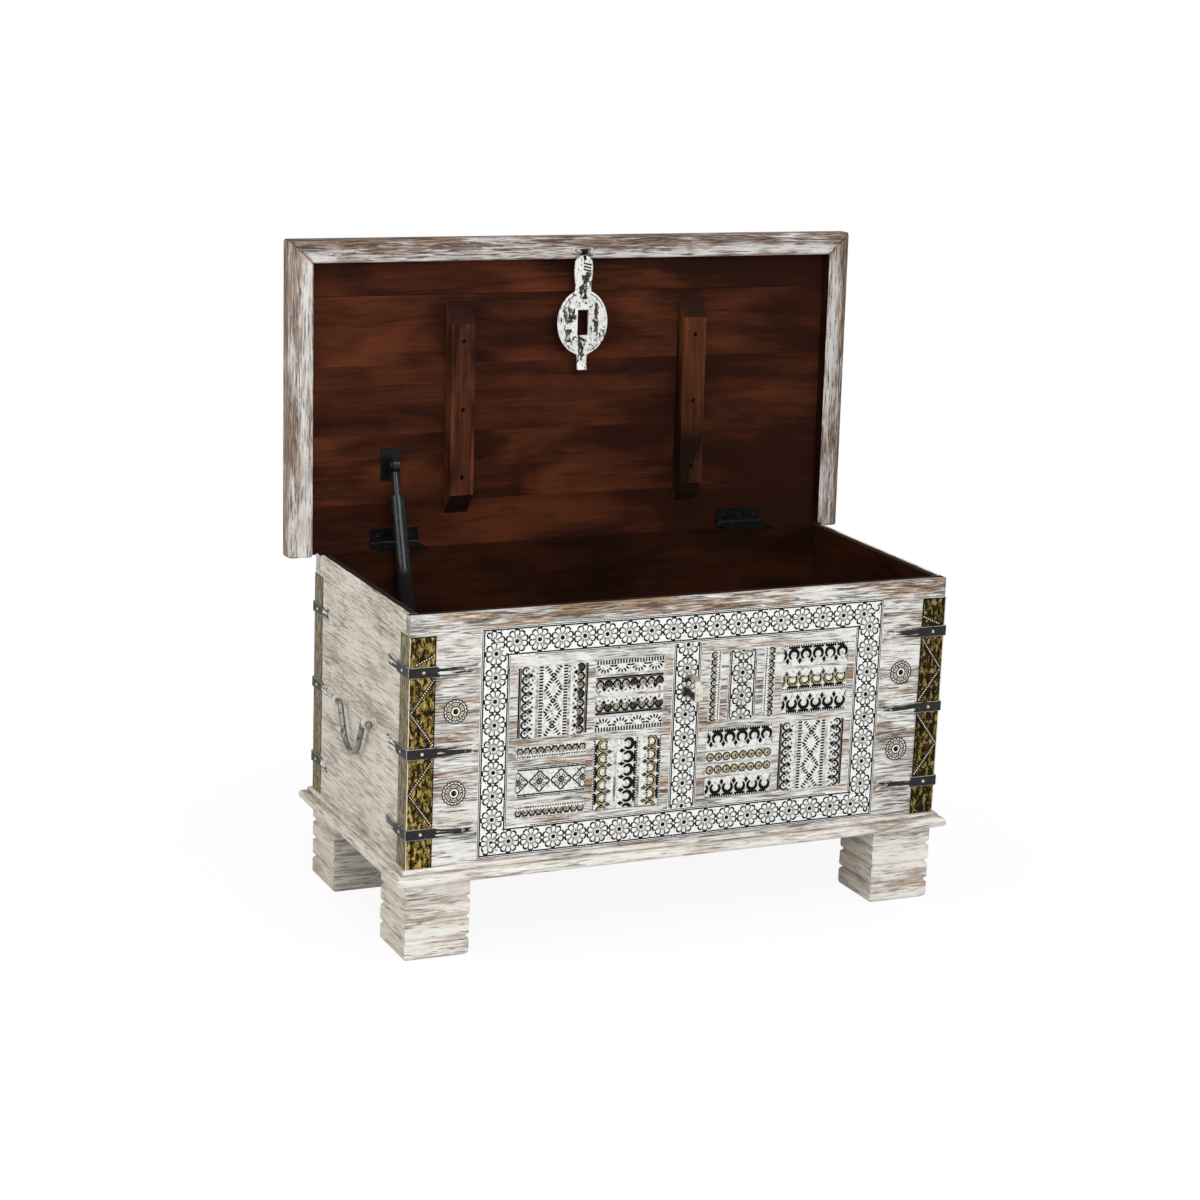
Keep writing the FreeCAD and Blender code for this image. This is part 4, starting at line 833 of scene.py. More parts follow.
@dataclass
class Strip:
    """One stamped strip: what takes its relief, where it lies and how large it is."""

    shape: Shape
    lay: Lay
    length: float
    width: float
    flipped: bool = False

    HOOP = np.array([
        (0.34, 0.085), (0.50, 0.140), (0.66, 0.190), (0.79, 0.222), (0.89, 0.205), (0.955, 0.135), (0.98, 0.0),
        (0.955, -0.135), (0.89, -0.205), (0.79, -0.222), (0.66, -0.190), (0.50, -0.140), (0.34, -0.085)])
    HOOP_WIDTH = 0.0005 + 0.0024 * swelling(13) ** 4
    PETALS = 10
    FLOWER_RADIUS = 0.0163
    ROW_PITCH = 0.0335
    HATCH_PITCH = 0.0042

    def stamp(self, motif: Motif) -> None:
        """Stamp one motif along the strip."""
        maker, *told = motif.value
        getattr(self, maker)(*told)

    def level(self, share: float) -> float:
        """Give a height across the strip, counted from its far edge where the strip is flipped."""
        return self.width * (1 - share if self.flipped else share)

    def facing(self, angle: float) -> float:
        """Give an angle across the strip, the other way where the strip is flipped."""
        return -angle if self.flipped else angle

    def ridge(self, path: np.ndarray, width: object, tone: Tone, height: float = 0.0004) -> None:
        """Lay a ridge along a path."""
        self.shape.stroke(self.lay, path, width, height, tone)

    def bar(self, along: np.ndarray, at: float, width: float, tone: Tone) -> None:
        """Lay a straight ridge along the strip."""
        self.ridge(np.stack([along, np.full(len(along), at)], 1), width, tone)

    def boss(self, centre: Sequence[float], radii: float | Pair, height: float, tone: Tone, sides: int = 8,
             turn: float = 0.0) -> None:
        """Raise a small dome."""
        self.shape.dome(self.lay, centre, radii, height, tone, sides, 2, turn)

    def line(self, share: float, width: float, inset: float = 0.001) -> None:
        """Lay one line along the strip."""
        self.bar(np.linspace(inset, self.length - inset, 9), self.level(share), width, Tone.INK)

    def row(self, pitch: float) -> np.ndarray:
        """Give the middles of marks that fill the strip at about a pitch."""
        count = max(2, int(self.length / pitch))
        return np.array([(i + 0.5) * self.length / count for i in range(count)])

    def dots(self, share: float, pitch: float, radius: float, tone: Tone = Tone.INK) -> None:
        """Lay a row of small dots along the strip."""
        for at in self.row(pitch):
            self.boss((at, self.level(share)), radius, radius * 0.7, tone, 6)

    def ticks(self, share: float, length: float) -> None:
        """Lay a row of short strokes that stand across the strip.

        Args:
            share: How far across the strip their middles lie.
            length: A stroke's length.
        """
        height = self.level(share)
        for at in self.row(self.HATCH_PITCH):
            ends = np.array([[at, height - length / 2], [at, height], [at, height + length / 2]])
            self.ridge(ends, 0.0025, Tone.BLACK)

    def flower(self, centre: Sequence[float]) -> None:
        """Stamp one flower: domed and scored petals, a dark hoop round each and a dark heart.

        Args:
            centre: The flower's middle on the strip.
        """
        middle, radius = np.asarray(centre, float), self.FLOWER_RADIUS
        for number in range(self.PETALS):
            turn = (number + 0.5) * math.tau / self.PETALS
            out, side = compass(turn)
            vein = middle + np.linspace(0.28, 0.58, 3)[:, None] * radius * out
            self.ridge(vein, 0.0008, Tone.UMBER, 0.0010)
            petal = middle + out * radius * 0.66
            self.boss(petal, (radius * 0.27, radius * 0.165), 0.0009, Tone.PAINT, turn=turn)
            hoop = middle + radius * (self.HOOP[:, :1] * out + self.HOOP[:, 1:] * side)
            self.ridge(hoop, self.HOOP_WIDTH, Tone.BLACK)
        self.boss(middle, radius * 0.20, 0.0009, Tone.INK)

    def flower_row(self) -> None:
        """Stamp four flowers down the strip between double edge lines."""
        for place in (-1.5, -0.5, 0.5, 1.5):
            self.flower((self.length / 2 + place * self.ROW_PITCH, self.width / 2))
        self.edges()

    def edges(self, dash: float = 0.024, gap: float = 0.0028) -> None:
        """Lay a fine line and a line of dashes along both edges.

        Args:
            dash: A dash's length.
            gap: The gap after it.
        """
        for share, inner in ((0.030, 0.088), (0.970, 0.912)):
            self.line(share, 0.0011)
            start, at = gap, self.width * inner
            while start < self.length - gap:
                end = min(start + dash, self.length - gap)
                self.bar(np.linspace(start, end, 4), at, 0.0020, Tone.INK)
                notch = (min(end + gap / 2, self.length - gap / 2), at)
                self.boss(notch, (0.0012, 0.0021), 0.0009, Tone.INK, 4)
                start = end + gap

    def curls(self, tinted: bool) -> None:
        """Stamp a chain of dark hooks with pips between them, beside a double line.

        Args:
            tinted: Whether the hooks lie on olive discs.
        """
        count = max(4, round(self.length / 0.0125))
        pitch = self.length / count
        radius = min(pitch * 0.42, self.width * 0.24)
        towards = self.facing(math.pi / 2)
        for i in range(count):
            centre = np.array([(i + 0.5) * pitch, self.level(0.43)])
            if tinted:
                self.boss(centre, radius * 0.8, 0.0006, Tone.UMBER if i % 3 == 1 else Tone.CURL, 12)
            hook = arc(centre, radius, towards + 0.50, towards + math.tau - 0.35, 15)
            self.ridge(hook, 0.0014 + 0.0014 * swelling(15), Tone.BLACK, 0.0013)
            self.boss((centre[0] + radius * 0.2, centre[1]), 0.0016, 0.0012, Tone.BLACK)
            size = 0.0034 if i % 2 else 0.0022
            self.boss((i * pitch, self.level(0.70)), (size, size * 1.15), 0.0014, Tone.BLACK, 4)
            self.boss(((i + 0.5) * pitch, self.level(0.80)), 0.0016, 0.0011, Tone.UMBER, 6)
        self.line(0.05, 0.0026)
        self.line(0.14, 0.0013)

    def hatched(self, path: np.ndarray, length: float) -> None:
        """Lay short strokes across a path, one after another.

        Args:
            path: The path's points.
            length: A stroke's length.
        """
        steps = np.linalg.norm(np.diff(path, axis=0), axis=1)
        walk = np.concatenate([[0.0], np.cumsum(steps)])

        def spot(at: float) -> np.ndarray:
            """Find the path's point at a distance along it."""
            return np.array([np.interp(at, walk, path[:, k]) for k in range(2)])

        count = max(2, int(walk[-1] / self.HATCH_PITCH))
        for at in (np.arange(count) + 0.5) * walk[-1] / count:
            here, run = spot(at), spot(min(at + 1e-4, walk[-1])) - spot(max(at - 1e-4, 0.0))
            run = run / max(np.linalg.norm(run), 1e-9)
            side = np.array([-run[1], run[0]])
            ends = np.array([here - side * length / 2, here, here + side * length / 2])
            self.ridge(ends, np.array([0.0017, 0.0028, 0.0017]), Tone.BLACK)

    def lattice(self) -> None:
        """Stamp a lattice of diamonds drawn in short strokes."""
        repeats = max(2, round(self.length / 0.0298))
        run = np.linspace(0.001, self.length - 0.001, repeats * 16 + 1)
        wave = 2 / math.pi * np.arcsin(np.cos(run / self.length * repeats * math.pi))
        for sign in (-1, 1):
            self.hatched(np.stack([run, self.width * (0.5 + sign * 0.28 * wave)], 1), 0.0058)
        for share in (0.08, 0.92):
            self.ticks(share, 0.0058)

    def scallops(self) -> None:
        """Stamp hanging arcs drawn in short strokes under a row of upright ones."""
        count = max(3, round(self.length / 0.0275))
        pitch = self.length / count
        turn = 0.0 if self.flipped else math.pi
        for i in range(count):
            centre = ((i + 0.5) * pitch, self.level(0.70))
            self.hatched(arc(centre, min(pitch * 0.42, self.width * 0.52), turn, turn + math.pi, 14), 0.0056)
        self.ticks(0.86, 0.0060)

    def loops(self) -> None:
        """Stamp a chain of small loops beside a row of dots."""
        count = max(5, round(self.length / 0.0102))
        pitch = self.length / count
        radius, away = pitch * 0.43, self.facing(-math.pi / 2)
        for i in range(count):
            centre = ((i + 0.5) * pitch, self.level(0.40))
            self.boss(centre, radius * 0.75, 0.0005, Tone.CURL, 10)
            rim = arc(centre, radius, away - 2.7, away + 2.7, 14)
            self.ridge(rim, 0.0012 + 0.0010 * swelling(14), Tone.BLACK, 0.0009)
            self.boss((centre[0], self.level(0.44)), radius * 0.27, 0.0008, Tone.UMBER)
        self.dots(0.84, 0.0036, 0.0013, Tone.BLACK)
        self.dots(0.10, 0.0051, 0.0011)

    def diamonds(self) -> None:
        """Stamp diamonds that each hold a four-petalled flower round a ring."""
        self.edges(dash=0.011, gap=0.002)
        pitch = self.length / 3.2
        half, wide = self.width * 0.35, pitch * 0.48
        corners = np.array([[wide, 0], [0, half], [-wide, 0], [0, -half], [wide, 0]])
        for i in range(4):
            middle = np.array([pitch * (i + 0.1), self.width / 2])
            for start, end in zip(corners, corners[1:]):
                self.ridge(middle + np.linspace(0, 1, 8)[:, None] * (end - start) + start, 0.0018, Tone.BLACK)
            for quarter in range(4):
                way, side = compass(quarter * math.pi / 2)
                reach = wide if quarter % 2 == 0 else half
                petal = middle + reach * (self.HOOP[:, :1] * 0.95 * way + self.HOOP[:, 1:] * 1.25 * side)
                self.ridge(petal, 0.0011, Tone.INK, 0.0007)
                leaf = middle + np.linspace(0.30, 0.42, 3)[:, None] * np.array([wide, half]) * (way + side)
                self.ridge(leaf, 0.0017, Tone.INK)
            self.shape.ring(self.lay, middle, 0.0037, 0.0020, 0.0012, Tone.INK, 14)
            self.boss(middle, 0.0022, 0.0014, Tone.UMBER)

    def crescents(self, tone: Tone) -> None:
        """Stamp horseshoes with pips between their horns, over a broken bar and a dotted line.

        Args:
            tone: The horseshoes' colour.
        """
        pitch = self.length / 5.3
        gilt = tone == Tone.GILT
        open_at, swell = self.facing(math.pi / 2), swelling(19)
        for i in range(7):
            centre = np.array([(i - 0.15) * pitch, self.level(0.47)])
            horns = arc(centre, 0.0073 if gilt else 0.0069, open_at + 0.62, open_at + math.tau - 0.62, 19)
            if gilt:
                self.ridge(horns, 0.0032 + 0.0024 * swell, Tone.INK, 0.0011)
                self.ridge(horns[1:-1], (0.0017 + 0.0013 * swell)[1:-1], tone, 0.0019)
                for way in (-0.0016, 0.0016):
                    self.boss((centre[0] + way, self.level(0.60)), (0.0011, 0.0019), 0.0011, Tone.UMBER, 6)
            else:
                self.ridge(horns, 0.0027 + 0.0029 * swell, tone, 0.0017)
            pip = ((i + 0.35) * pitch, self.level(0.76))
            self.boss(pip, (0.0034, 0.0050), 0.0015, Tone.UMBER if gilt else tone, 4)
            self.ridge(np.array([[pip[0], self.level(share)] for share in (0.62, 0.66, 0.70)]), 0.0021, tone)
            bar = np.linspace((i - 0.65) * pitch + 0.0012, (i + 0.35) * pitch - 0.0012, 4)
            bar = bar[(bar > 0.0005) & (bar < self.length - 0.0005)]
            if len(bar) > 1:
                self.bar(bar, self.level(0.13), 0.0033, Tone.BLACK)
        self.dots(0.045, 0.0036, 0.0014, Tone.BLACK)

    def beads(self) -> None:
        """Stamp a row of domed beads with gilt crowns, dark hearts and dark rims."""
        count = 8
        pitch = self.length / count
        radius = min(pitch, self.width) * 0.40
        for i in range(count):
            centre = ((i + 0.5) * pitch, self.width / 2)
            self.shape.dome(self.lay, centre, radius, 0.0018, Tone.CURL)
            self.shape.ring(self.lay, centre, radius * 1.04, 0.0023, 0.0006, Tone.BLACK, 14)
            self.shape.dome(self.lay.lifted(0.0014), centre, radius * 0.58, 0.0008, Tone.GILT, 9, 2)
            self.shape.dome(self.lay.lifted(0.0021), centre, radius * 0.30, 0.0005, Tone.INK, 6, 2)


@dataclass
class StampedFront:
    """The front's border of flowers, its middle strip and the eight blocks of short strips."""

    pitch: float = 0.03345
    margin: float = 0.0004
    block_margin: float = 0.014
    block_gap: float = 0.012
    strip_gap: float = 0.004
    loop_gap: float = 0.012
    face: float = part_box("border_top_strip")[0].y

    BLOCKS = {
        "left": (
            (Place.OUTER, Place.TOP, Run.UPRIGHT, (
                (0.6, Motif.CURLS, 1), (1, Motif.LATTICE, 0), (0.6, Motif.OLIVE_CURLS, 0))),
            (Place.INNER, Place.TOP, Run.LEVEL, (
                (0.8, Motif.SCALLOPS, 0), (1, Motif.OLIVE_CURLS, 1), (1, Motif.OLIVE_CURLS, 0),
                (0.8, Motif.SCALLOPS, 1))),
            (Place.OUTER, Place.BOTTOM, Run.LEVEL, (
                (0.4, Motif.LOOPS, 1), (1, Motif.DIAMONDS, 0), (0.4, Motif.LOOPS, 0))),
            (Place.INNER, Place.BOTTOM, Run.UPRIGHT, (
                (1, Motif.GILT_CRESCENTS, 1), (1, Motif.BLACK_CRESCENTS, 0), (1, Motif.GILT_CRESCENTS, 0))),
        ),
        "right": (
            (Place.INNER, Place.TOP, Run.UPRIGHT, (
                (0.4, Motif.LOOPS, 1), (1, Motif.FLOWERS, 0), (0.4, Motif.LOOPS, 0))),
            (Place.OUTER, Place.TOP, Run.LEVEL, (
                (1, Motif.BLACK_CRESCENTS, 1), (1, Motif.GILT_CRESCENTS, 0), (1, Motif.BLACK_CRESCENTS, 0))),
            (Place.INNER, Place.BOTTOM, Run.LEVEL, (
                (1, Motif.BLACK_CRESCENTS, 1), (0.5, Motif.BEADS, 0), (0.5, Motif.BEADS, 0),
                (1, Motif.BLACK_CRESCENTS, 0))),
            (Place.OUTER, Place.BOTTOM, Run.UPRIGHT, (
                (0.56, Motif.CURLS, 1), (1, Motif.LATTICE, 0), (0.56, Motif.CURLS, 0))),
        ),
    }

    def build(self) -> None:
        """Paint the strips and stamp them."""
        for name in ("border_top", "border_bottom", "border_left", "border_right", "centre"):
            dress(f"{name}_strip", BORDER_PAINT)
        for side in SIDES:
            dress(f"{side}_panel_strips", STRIP_PAINT)
        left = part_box("border_left_strip")
        for side, first, outer in (("top", -0.2579, left[1].z), ("bottom", -0.2620, left[0].z)):
            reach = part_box(f"border_{side}_strip")[1].x
            self.band(f"border_{side}_strip", f"{side}_flowers", Run.LEVEL, first, lambda at: (
                np.abs(at[:, 0]) < reach - np.abs(at[:, 2] - outer) - self.margin))
        for side, first in (("left", 0.4260), ("right", 0.4225)):
            low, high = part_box(f"border_{side}_strip")
            outer = high.x if side == "right" else low.x
            self.band(f"border_{side}_strip", f"{side}_flowers", Run.UPRIGHT, first, lambda at: (
                self.between(at, low.z, high.z, np.abs(at[:, 0] - outer) + self.margin)))
        low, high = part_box("centre_strip")
        self.band("centre_strip", "centre_flowers", Run.UPRIGHT, None, lambda at: (
            self.between(at, low.z, high.z, self.margin)))
        for side in SIDES:
            self.blocks(side)

    def between(self, at: np.ndarray, low: float, high: float, depth: object) -> np.ndarray:
        """Tell which points lie between two heights, by a depth or more."""
        return (at[:, 2] > low + depth) & (at[:, 2] < high - depth)

    def strip(self, run: Run, corner: Pair, length: float, width: float, flipped: bool = False) -> Strip:
        """Start a strip on the front.

        Args:
            run: Which way it runs.
            corner: Its lower right corner where it is upright, or else its lower left one.
            length: Its length.
            width: Its width.
            flipped: Whether its motif is turned over.

        Returns:
            The strip, with nothing stamped yet.
        """
        lay = front_lay(corner[0], self.face, corner[1])
        if run is Run.UPRIGHT:
            lay = Lay(lay.origin, UP, -RIGHT, FRONT)
        return Strip(Shape(), lay, length, width, flipped)

    def band(self, node: str, name: str, run: Run, first: float | None, keep: Test) -> None:
        """Stamp a band of flowers between double edge lines and cut it to its outline.

        Args:
            node: The CAD strip that it lies on.
            name: The piece's name.
            run: Which way it runs.
            first: Where one of its flowers stands, or nothing where the row is in the strip's middle.
            keep: Takes the faces' middles and tells which stay.
        """
        low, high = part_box(node)
        wide, tall = high.x - low.x, high.z - low.z
        upright = run is Run.UPRIGHT
        strip = self.strip(run, (high.x, low.z), tall, wide) if upright else self.strip(
            run, (low.x, low.z), wide, tall)
        count = int(strip.length / self.pitch)
        if first is None:
            places = [strip.length / 2 + (number - count / 2) * self.pitch for number in range(count + 1)]
        else:
            start = (first - (low.z if upright else low.x)) % self.pitch - self.pitch
            places = [start + number * self.pitch for number in range(count + 3)]
        for at in places:
            strip.flower((at, strip.width / 2))
        strip.edges()
        strip.shape.clipped(keep)
        strip.shape.piece(name, BORDER_RELIEF, "chest", "stamped_metal")

    def blocks(self, side: str) -> None:
        """Stamp one half's four blocks of short strips.

        Args:
            side: Which half.
        """
        low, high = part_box(f"{side}_panel_strips")
        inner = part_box("centre_strip")[1].x + self.block_margin
        width = (high.x - low.x - self.block_gap) / 2
        height = (high.z - low.z - self.block_gap) / 2
        columns = {Place.INNER: inner, Place.OUTER: inner + width + self.block_gap}
        rows = {Place.BOTTOM: low.z, Place.TOP: low.z + height + self.block_gap}
        shape = Shape()
        for column, row, run, strips in self.BLOCKS[side]:
            upright = run is Run.UPRIGHT
            gap = self.loop_gap if strips[0][1] is Motif.LOOPS else self.strip_gap
            x, z = columns[column] if side == "right" else -columns[column] - width, rows[row]
            size = width if upright else height
            room = (size - gap * (len(strips) - 1)) / sum(share for share, _, _ in strips)
            done = 0.0
            for share, motif, flipped in strips if upright else strips[::-1]:
                across = room * share
                if upright:
                    strip = self.strip(run, (x + done + across, z), height, across, bool(flipped))
                    bounds = (x + done, x + done + across, z, z + height)
                else:
                    strip = self.strip(run, (x, z + done), width, across, bool(flipped))
                    bounds = (x, x + width, z + done, z + done + across)
                strip.stamp(motif)
                strip.shape.clipped(lambda at: (
                    (at[:, 0] > bounds[0]) & (at[:, 0] < bounds[1]) & (at[:, 2] > bounds[2]) & (at[:, 2] < bounds[3])))
                shape.join(strip.shape)
                done += across + gap
        shape.piece(f"{side}_block_relief", STRIP_RELIEF, "chest", "stamped_metal")


def dress(node: str, *finishes: Finish) -> None:
    """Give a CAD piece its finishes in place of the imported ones."""
    coat(frame["nodes"][node].data, finishes)


def welded(node: str) -> bmesh.types.BMesh:
    """Open a copy of a CAD piece's mesh with its seams closed.

    Args:
        node: The CAD piece.

    Returns:
        The mesh to work on.
    """
    work = bmesh.new()
    work.from_mesh(frame["nodes"][node].data)
    bmesh.ops.remove_doubles(work, verts=work.verts, dist=WELD)
    return work


def first_finish(middle: Vector, normal: Vector) -> int:
    """Pick the first finish for every face."""
    return 0


def softened(node: str, body: str, width: float, finishes: Sequence[Finish], choose: Choice = first_finish,
             wobble: float = 0.0) -> None:
    """Stand in for a CAD piece with a copy whose edges are eased.

    Args:
        node: The CAD piece.
        body: The body that it rides on.
        width: How far its edges are eased.
        finishes: Its finishes.
        choose: Picks a finish from a face's middle and its outward direction.
        wobble: How unevenly the edges are worn.
    """
    work = welded(node)
    bmesh.ops.dissolve_limit(work, angle_limit=FLAT_ANGLE, verts=work.verts, edges=work.edges)
    sharp = [edge for edge in work.edges if len(edge.link_faces) == 2 and edge.calc_face_angle(0.0) > SHARP_ANGLE]
    eased = bmesh.ops.bevel(
        work, geom=sharp, offset=width, offset_type="OFFSET", segments=2, profile=0.6, affect="EDGES",
        clamp_overlap=True)
    work.faces.index_update()
    marked = {face.index for face in eased["faces"]}
    if wobble:
        for vert in work.verts:
            jolt = Vector(noise.noise(vert.co * JOLT_REPEATS + shift) for shift in JOLTS)
            vert.co += jolt * wobble
    mesh = bpy.data.meshes.new(f"{node}_eased")
    work.to_mesh(mesh)
    work.free()
    coat(mesh, finishes)
    edge_mark = mesh.attributes.new("edge", "FLOAT", "FACE")
    edge_mark.data.foreach_set("value", [1.0 if face.index in marked else 0.0 for face in mesh.polygons])
    picks = [choose(face.center, face.normal) for face in mesh.polygons]
    mesh.polygons.foreach_set("material_index", picks)
    item = mounted(mesh, body, smooth=30.0)
    item.modifiers.new("face_shading", "WEIGHTED_NORMAL").keep_sharp = True
    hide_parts(node)


def islands(work: bmesh.types.BMesh) -> list[list[Vector]]:
    """Sort a mesh's points into the lumps that its edges join.

    Args:
        work: The mesh.

    Returns:
        The points of each lump, in the mesh's order of first points.
    """
    seen, lumps = set(), []
    for start in work.verts:
        if start in seen:
            continue
        seen.add(start)
        lump, queue = [], [start]
        while queue:
            vert = queue.pop()
            lump.append(vert.co)
            for edge in vert.link_edges:
                other = edge.other_vert(vert)
                if other not in seen:
                    seen.add(other)
                    queue.append(other)
        lumps.append(lump)
    return lumps


@dataclass
class Carcass:
    """The body's boards, base moulding and feet."""

    board_ease: float = 0.0014
    bottom_ease: float = 0.001
    moulding_ease: float = 0.0008
    foot_ease: float = 0.0012
    foot_wobble: float = 0.0006
    slack: float = 0.0005

    def build(self) -> None:
        """Ease and finish the wooden pieces below the lid."""
        inside_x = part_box("right_side_board")[0].x + self.slack
        inside_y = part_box("back_board")[0].y + self.slack

        def is_inside(middle: Vector, normal: Vector) -> int:
            """Pick the inside's dark stain, which carries painted shade, for faces that look into the chest."""
            return int(abs(middle.x) < inside_x and abs(middle.y) < inside_y and abs(normal.z) < 0.5)

        def is_back_inside(middle: Vector, normal: Vector) -> int:
            """Pick the inside's dark stain, which carries painted shade, for the back board's inner face and its top.
            """
            return 1 if normal.z > 0.5 else is_inside(middle, normal)

        def is_rim(middle: Vector, normal: Vector) -> int:
            """Pick the rubbed wood for the top edges, and the inside's dark stain with its painted shade inside."""
            return 2 if normal.z > 0.5 else is_inside(middle, normal)

        def is_flank(middle: Vector, normal: Vector) -> int:
            """Pick the grain by the way a foot's face looks."""
            return int(abs(normal.x) > abs(normal.y) and abs(normal.x) > 0.4)

        self.ease("back_board", self.board_ease, [FRONT_WOOD, INSIDE_ALONG], is_back_inside)
        self.ease("front_board", self.board_ease, [FRONT_WOOD, INSIDE_ALONG, RIM_WOOD], is_rim)
        for side in SIDES:
            self.ease(f"{side}_side_board", self.board_ease, [SIDE_WOOD, INSIDE_DEEP, SIDE_RIM_WOOD], is_rim)
        self.ease("bottom_board", self.bottom_ease, [INSIDE_ALONG])
        for end in ENDS:
            self.ease(f"{end}_moulding", self.moulding_ease, [FOOT_WOOD])
        for side in SIDES:
            self.ease(f"{side}_moulding", self.moulding_ease, [SIDE_WOOD])
        for end in ENDS:
            for side in SIDES:
                self.ease(f"{end}_{side}_foot", self.foot_ease, [FOOT_WOOD, SIDE_WOOD], is_flank, self.foot_wobble)

    def ease(self, node: str, width: float, finishes: Sequence[Finish], choose: Choice = first_finish,
             wobble: float = 0.0) -> None:
        """Ease and finish one wooden piece."""
        softened(node, "chest", width, finishes, choose, wobble)


@dataclass
class CornerIrons:
    """Brass angles with a beaded zigzag, the iron straps over them and the rosettes beside them."""

    strap_half: float = 0.0080
    strap_gap: float = 0.004
    strap_drops: tuple[float, ...] = (0.049, 0.162, 0.275)
    strap_ease: float = 0.0008
    strap_wobble: float = 0.0004
    nail_inset: float = 0.019
    nail_stand: float = 0.0045
    nail_sink: float = 0.0006
    bead: float = 0.0020
    bead_pitch: float = 0.0031
    rosette_radius: float = 0.017
    rosette_lobes: int = 18

    def build(self) -> None:
        """Finish the four corners and the rosettes."""
        for end in ENDS:
            for side in SIDES:
                dress(f"{end}_{side}_brass_corner", TARNISHED_BRASS if (end, side) == ("front", "right") else BRASS)
                softened(f"{end}_{side}_straps", "chest", self.strap_ease, [STRAP_IRON],
                         wobble=self.strap_wobble)
                self.zigzag(end, side)
        self.rosettes()

    def zigzag(self, end: str, side: str) -> None:
        """Lay the beaded zigzag on a brass angle's face, its points on the corner, and cap the straps' nails.

        Args:
            end: The angle's end, front or back.
            side: Its side.
        """
        low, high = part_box(f"{end}_{side}_brass_corner")
        facing, way = (-1 if end == "front" else 1), (1 if side == "right" else -1)
        face, start = low.y if facing < 0 else high.y, high.x if way > 0 else low.x
        width = high.x - low.x
        lay = Lay(Vector((start, face, 0)), RIGHT * -way, UP, FRONT * -facing)
        heights = [high.z - drop for drop in self.strap_drops]
        reach, tip, clear = width - 0.003, 0.0028, self.strap_half
        shape = Shape()
        for upper, lower in zip(heights, heights[1:]):
            top, bottom = upper - clear - self.strap_gap, lower + clear + self.strap_gap
            middle = (top + bottom) / 2
            self.wire(shape, lay, (reach, top), (tip, middle))
            self.wire(shape, lay, (tip, middle), (reach, bottom))
        self.wire(shape, lay, (reach, heights[0] + 0.022), (tip + 0.008, heights[0] + 0.011))
        outline = np.array([(width - 0.0008, low.z), (width - 0.0008, high.z - 0.0008), (0.001, high.z - 0.0008)])
        for start_at, end_at in zip(outline, outline[1:]):
            shape.stroke(lay, np.linspace(start_at, end_at, 6), 0.0016, 0.0003, Tone.BLACK)
        # A pale line along the angle's corner edge: a painted highlight.
        shape.stroke(lay, np.linspace((0.0007, low.z), (0.0007, high.z), 12), 0.0012, 0.0003, Tone.RUBBED_AND_HIGHLIGHT)
        low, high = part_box(f"{end}_{side}_straps")
        corner = Vector((high.x if way > 0 else low.x, low.y if facing < 0 else high.y, 0.0))
        across, out = RIGHT * way, FRONT * -facing
        for lay in (Lay(corner, -across, UP, out), Lay(corner, -out, UP, across)):
            for height in heights:
                shape.dome(lay.lifted(-self.nail_sink), (self.nail_inset + self.nail_stand, height), 0.0021, 0.0010,
                           Tone.RUBBED_AND_HIGHLIGHT, 10)
        shape.piece(f"{end}_{side}_zigzag", STRIP_RELIEF, "chest", "aged_brass")

    def wire(self, shape: Shape, lay: Lay, start: Pair, end: Pair) -> None:
        """Lay one length of beaded wire over a wide dark stroke that is its painted shadow.

        Args:
            shape: What takes the relief.
            lay: The brass face.
            start: Where the wire begins.
            end: Where it stops.
        """
        run = np.linspace(start, end, max(6, int(math.dist(start, end) / self.bead_pitch)))
        # Painted shadow: a wide dark stroke under the beads.
        shape.stroke(lay, run, self.bead * 2.3, 0.0003, Tone.BLACK)
        shape.stroke(lay, run, self.bead * 0.55, 0.0008, Tone.UMBER)
        for spot in run:
            shape.dome(lay, spot, self.bead * 0.62, 0.0017, Tone.RUBBED_AND_HIGHLIGHT, 6, 2)

    def rosettes(self) -> None:
        """Build the four rosettes."""
        low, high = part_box("rosettes")
        radius, face = self.rosette_radius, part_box("front_board")[0].y
        shape = Shape()
        for x in (low.x + radius, high.x - radius):
            for z in (low.z + radius, high.z - radius):
                self.rosette(shape, front_lay(x, face, z))
        item = shape.piece("rosette_relief", BORDER_RELIEF, "chest", "stamped_metal")
        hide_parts("rosettes")

    def rosette(self, shape: Shape, lay: Lay) -> None:
        """Stamp one rosette: a lobed rim, a ring of petals and a round boss.

        Args:
            shape: What takes the relief.
            lay: The face, with its corner at the rosette's middle.
        """
        radius, middle = self.rosette_radius, (0, 0)
        shape.dome(lay, middle, radius, 0.0008, Tone.PAINT, 36, 4)
        crown = lay.lifted(0.0006)
        for number in range(self.rosette_lobes):
            turn = number * math.tau / self.rosette_lobes
            way, _ = compass(turn)
            lobe = arc(0.86 * radius * way, radius * 0.145, turn - math.pi / 2, turn + math.pi / 2, 6)
            shape.stroke(lay, lobe, 0.0016, 0.0012, Tone.BLACK)
            tone = Tone.UMBER if number % 3 == 0 else Tone.GILT
            shape.dome(crown, 0.60 * radius * way, (0.0024, 0.0016), 0.0012, tone, 6, 2, turn)
        shape.ring(crown, middle, radius * 0.77, 0.0015, 0.0007, Tone.BLACK, 32)
        shape.ring(crown, middle, radius * 0.42, 0.0018, 0.0008, Tone.BLACK, 28)
        shape.dome(crown, middle, radius * 0.24, 0.0024, Tone.INK)
        shape.dome(crown, (0.0011, 0.0012), 0.0011, 0.0027, Tone.CURL, 6, 2)


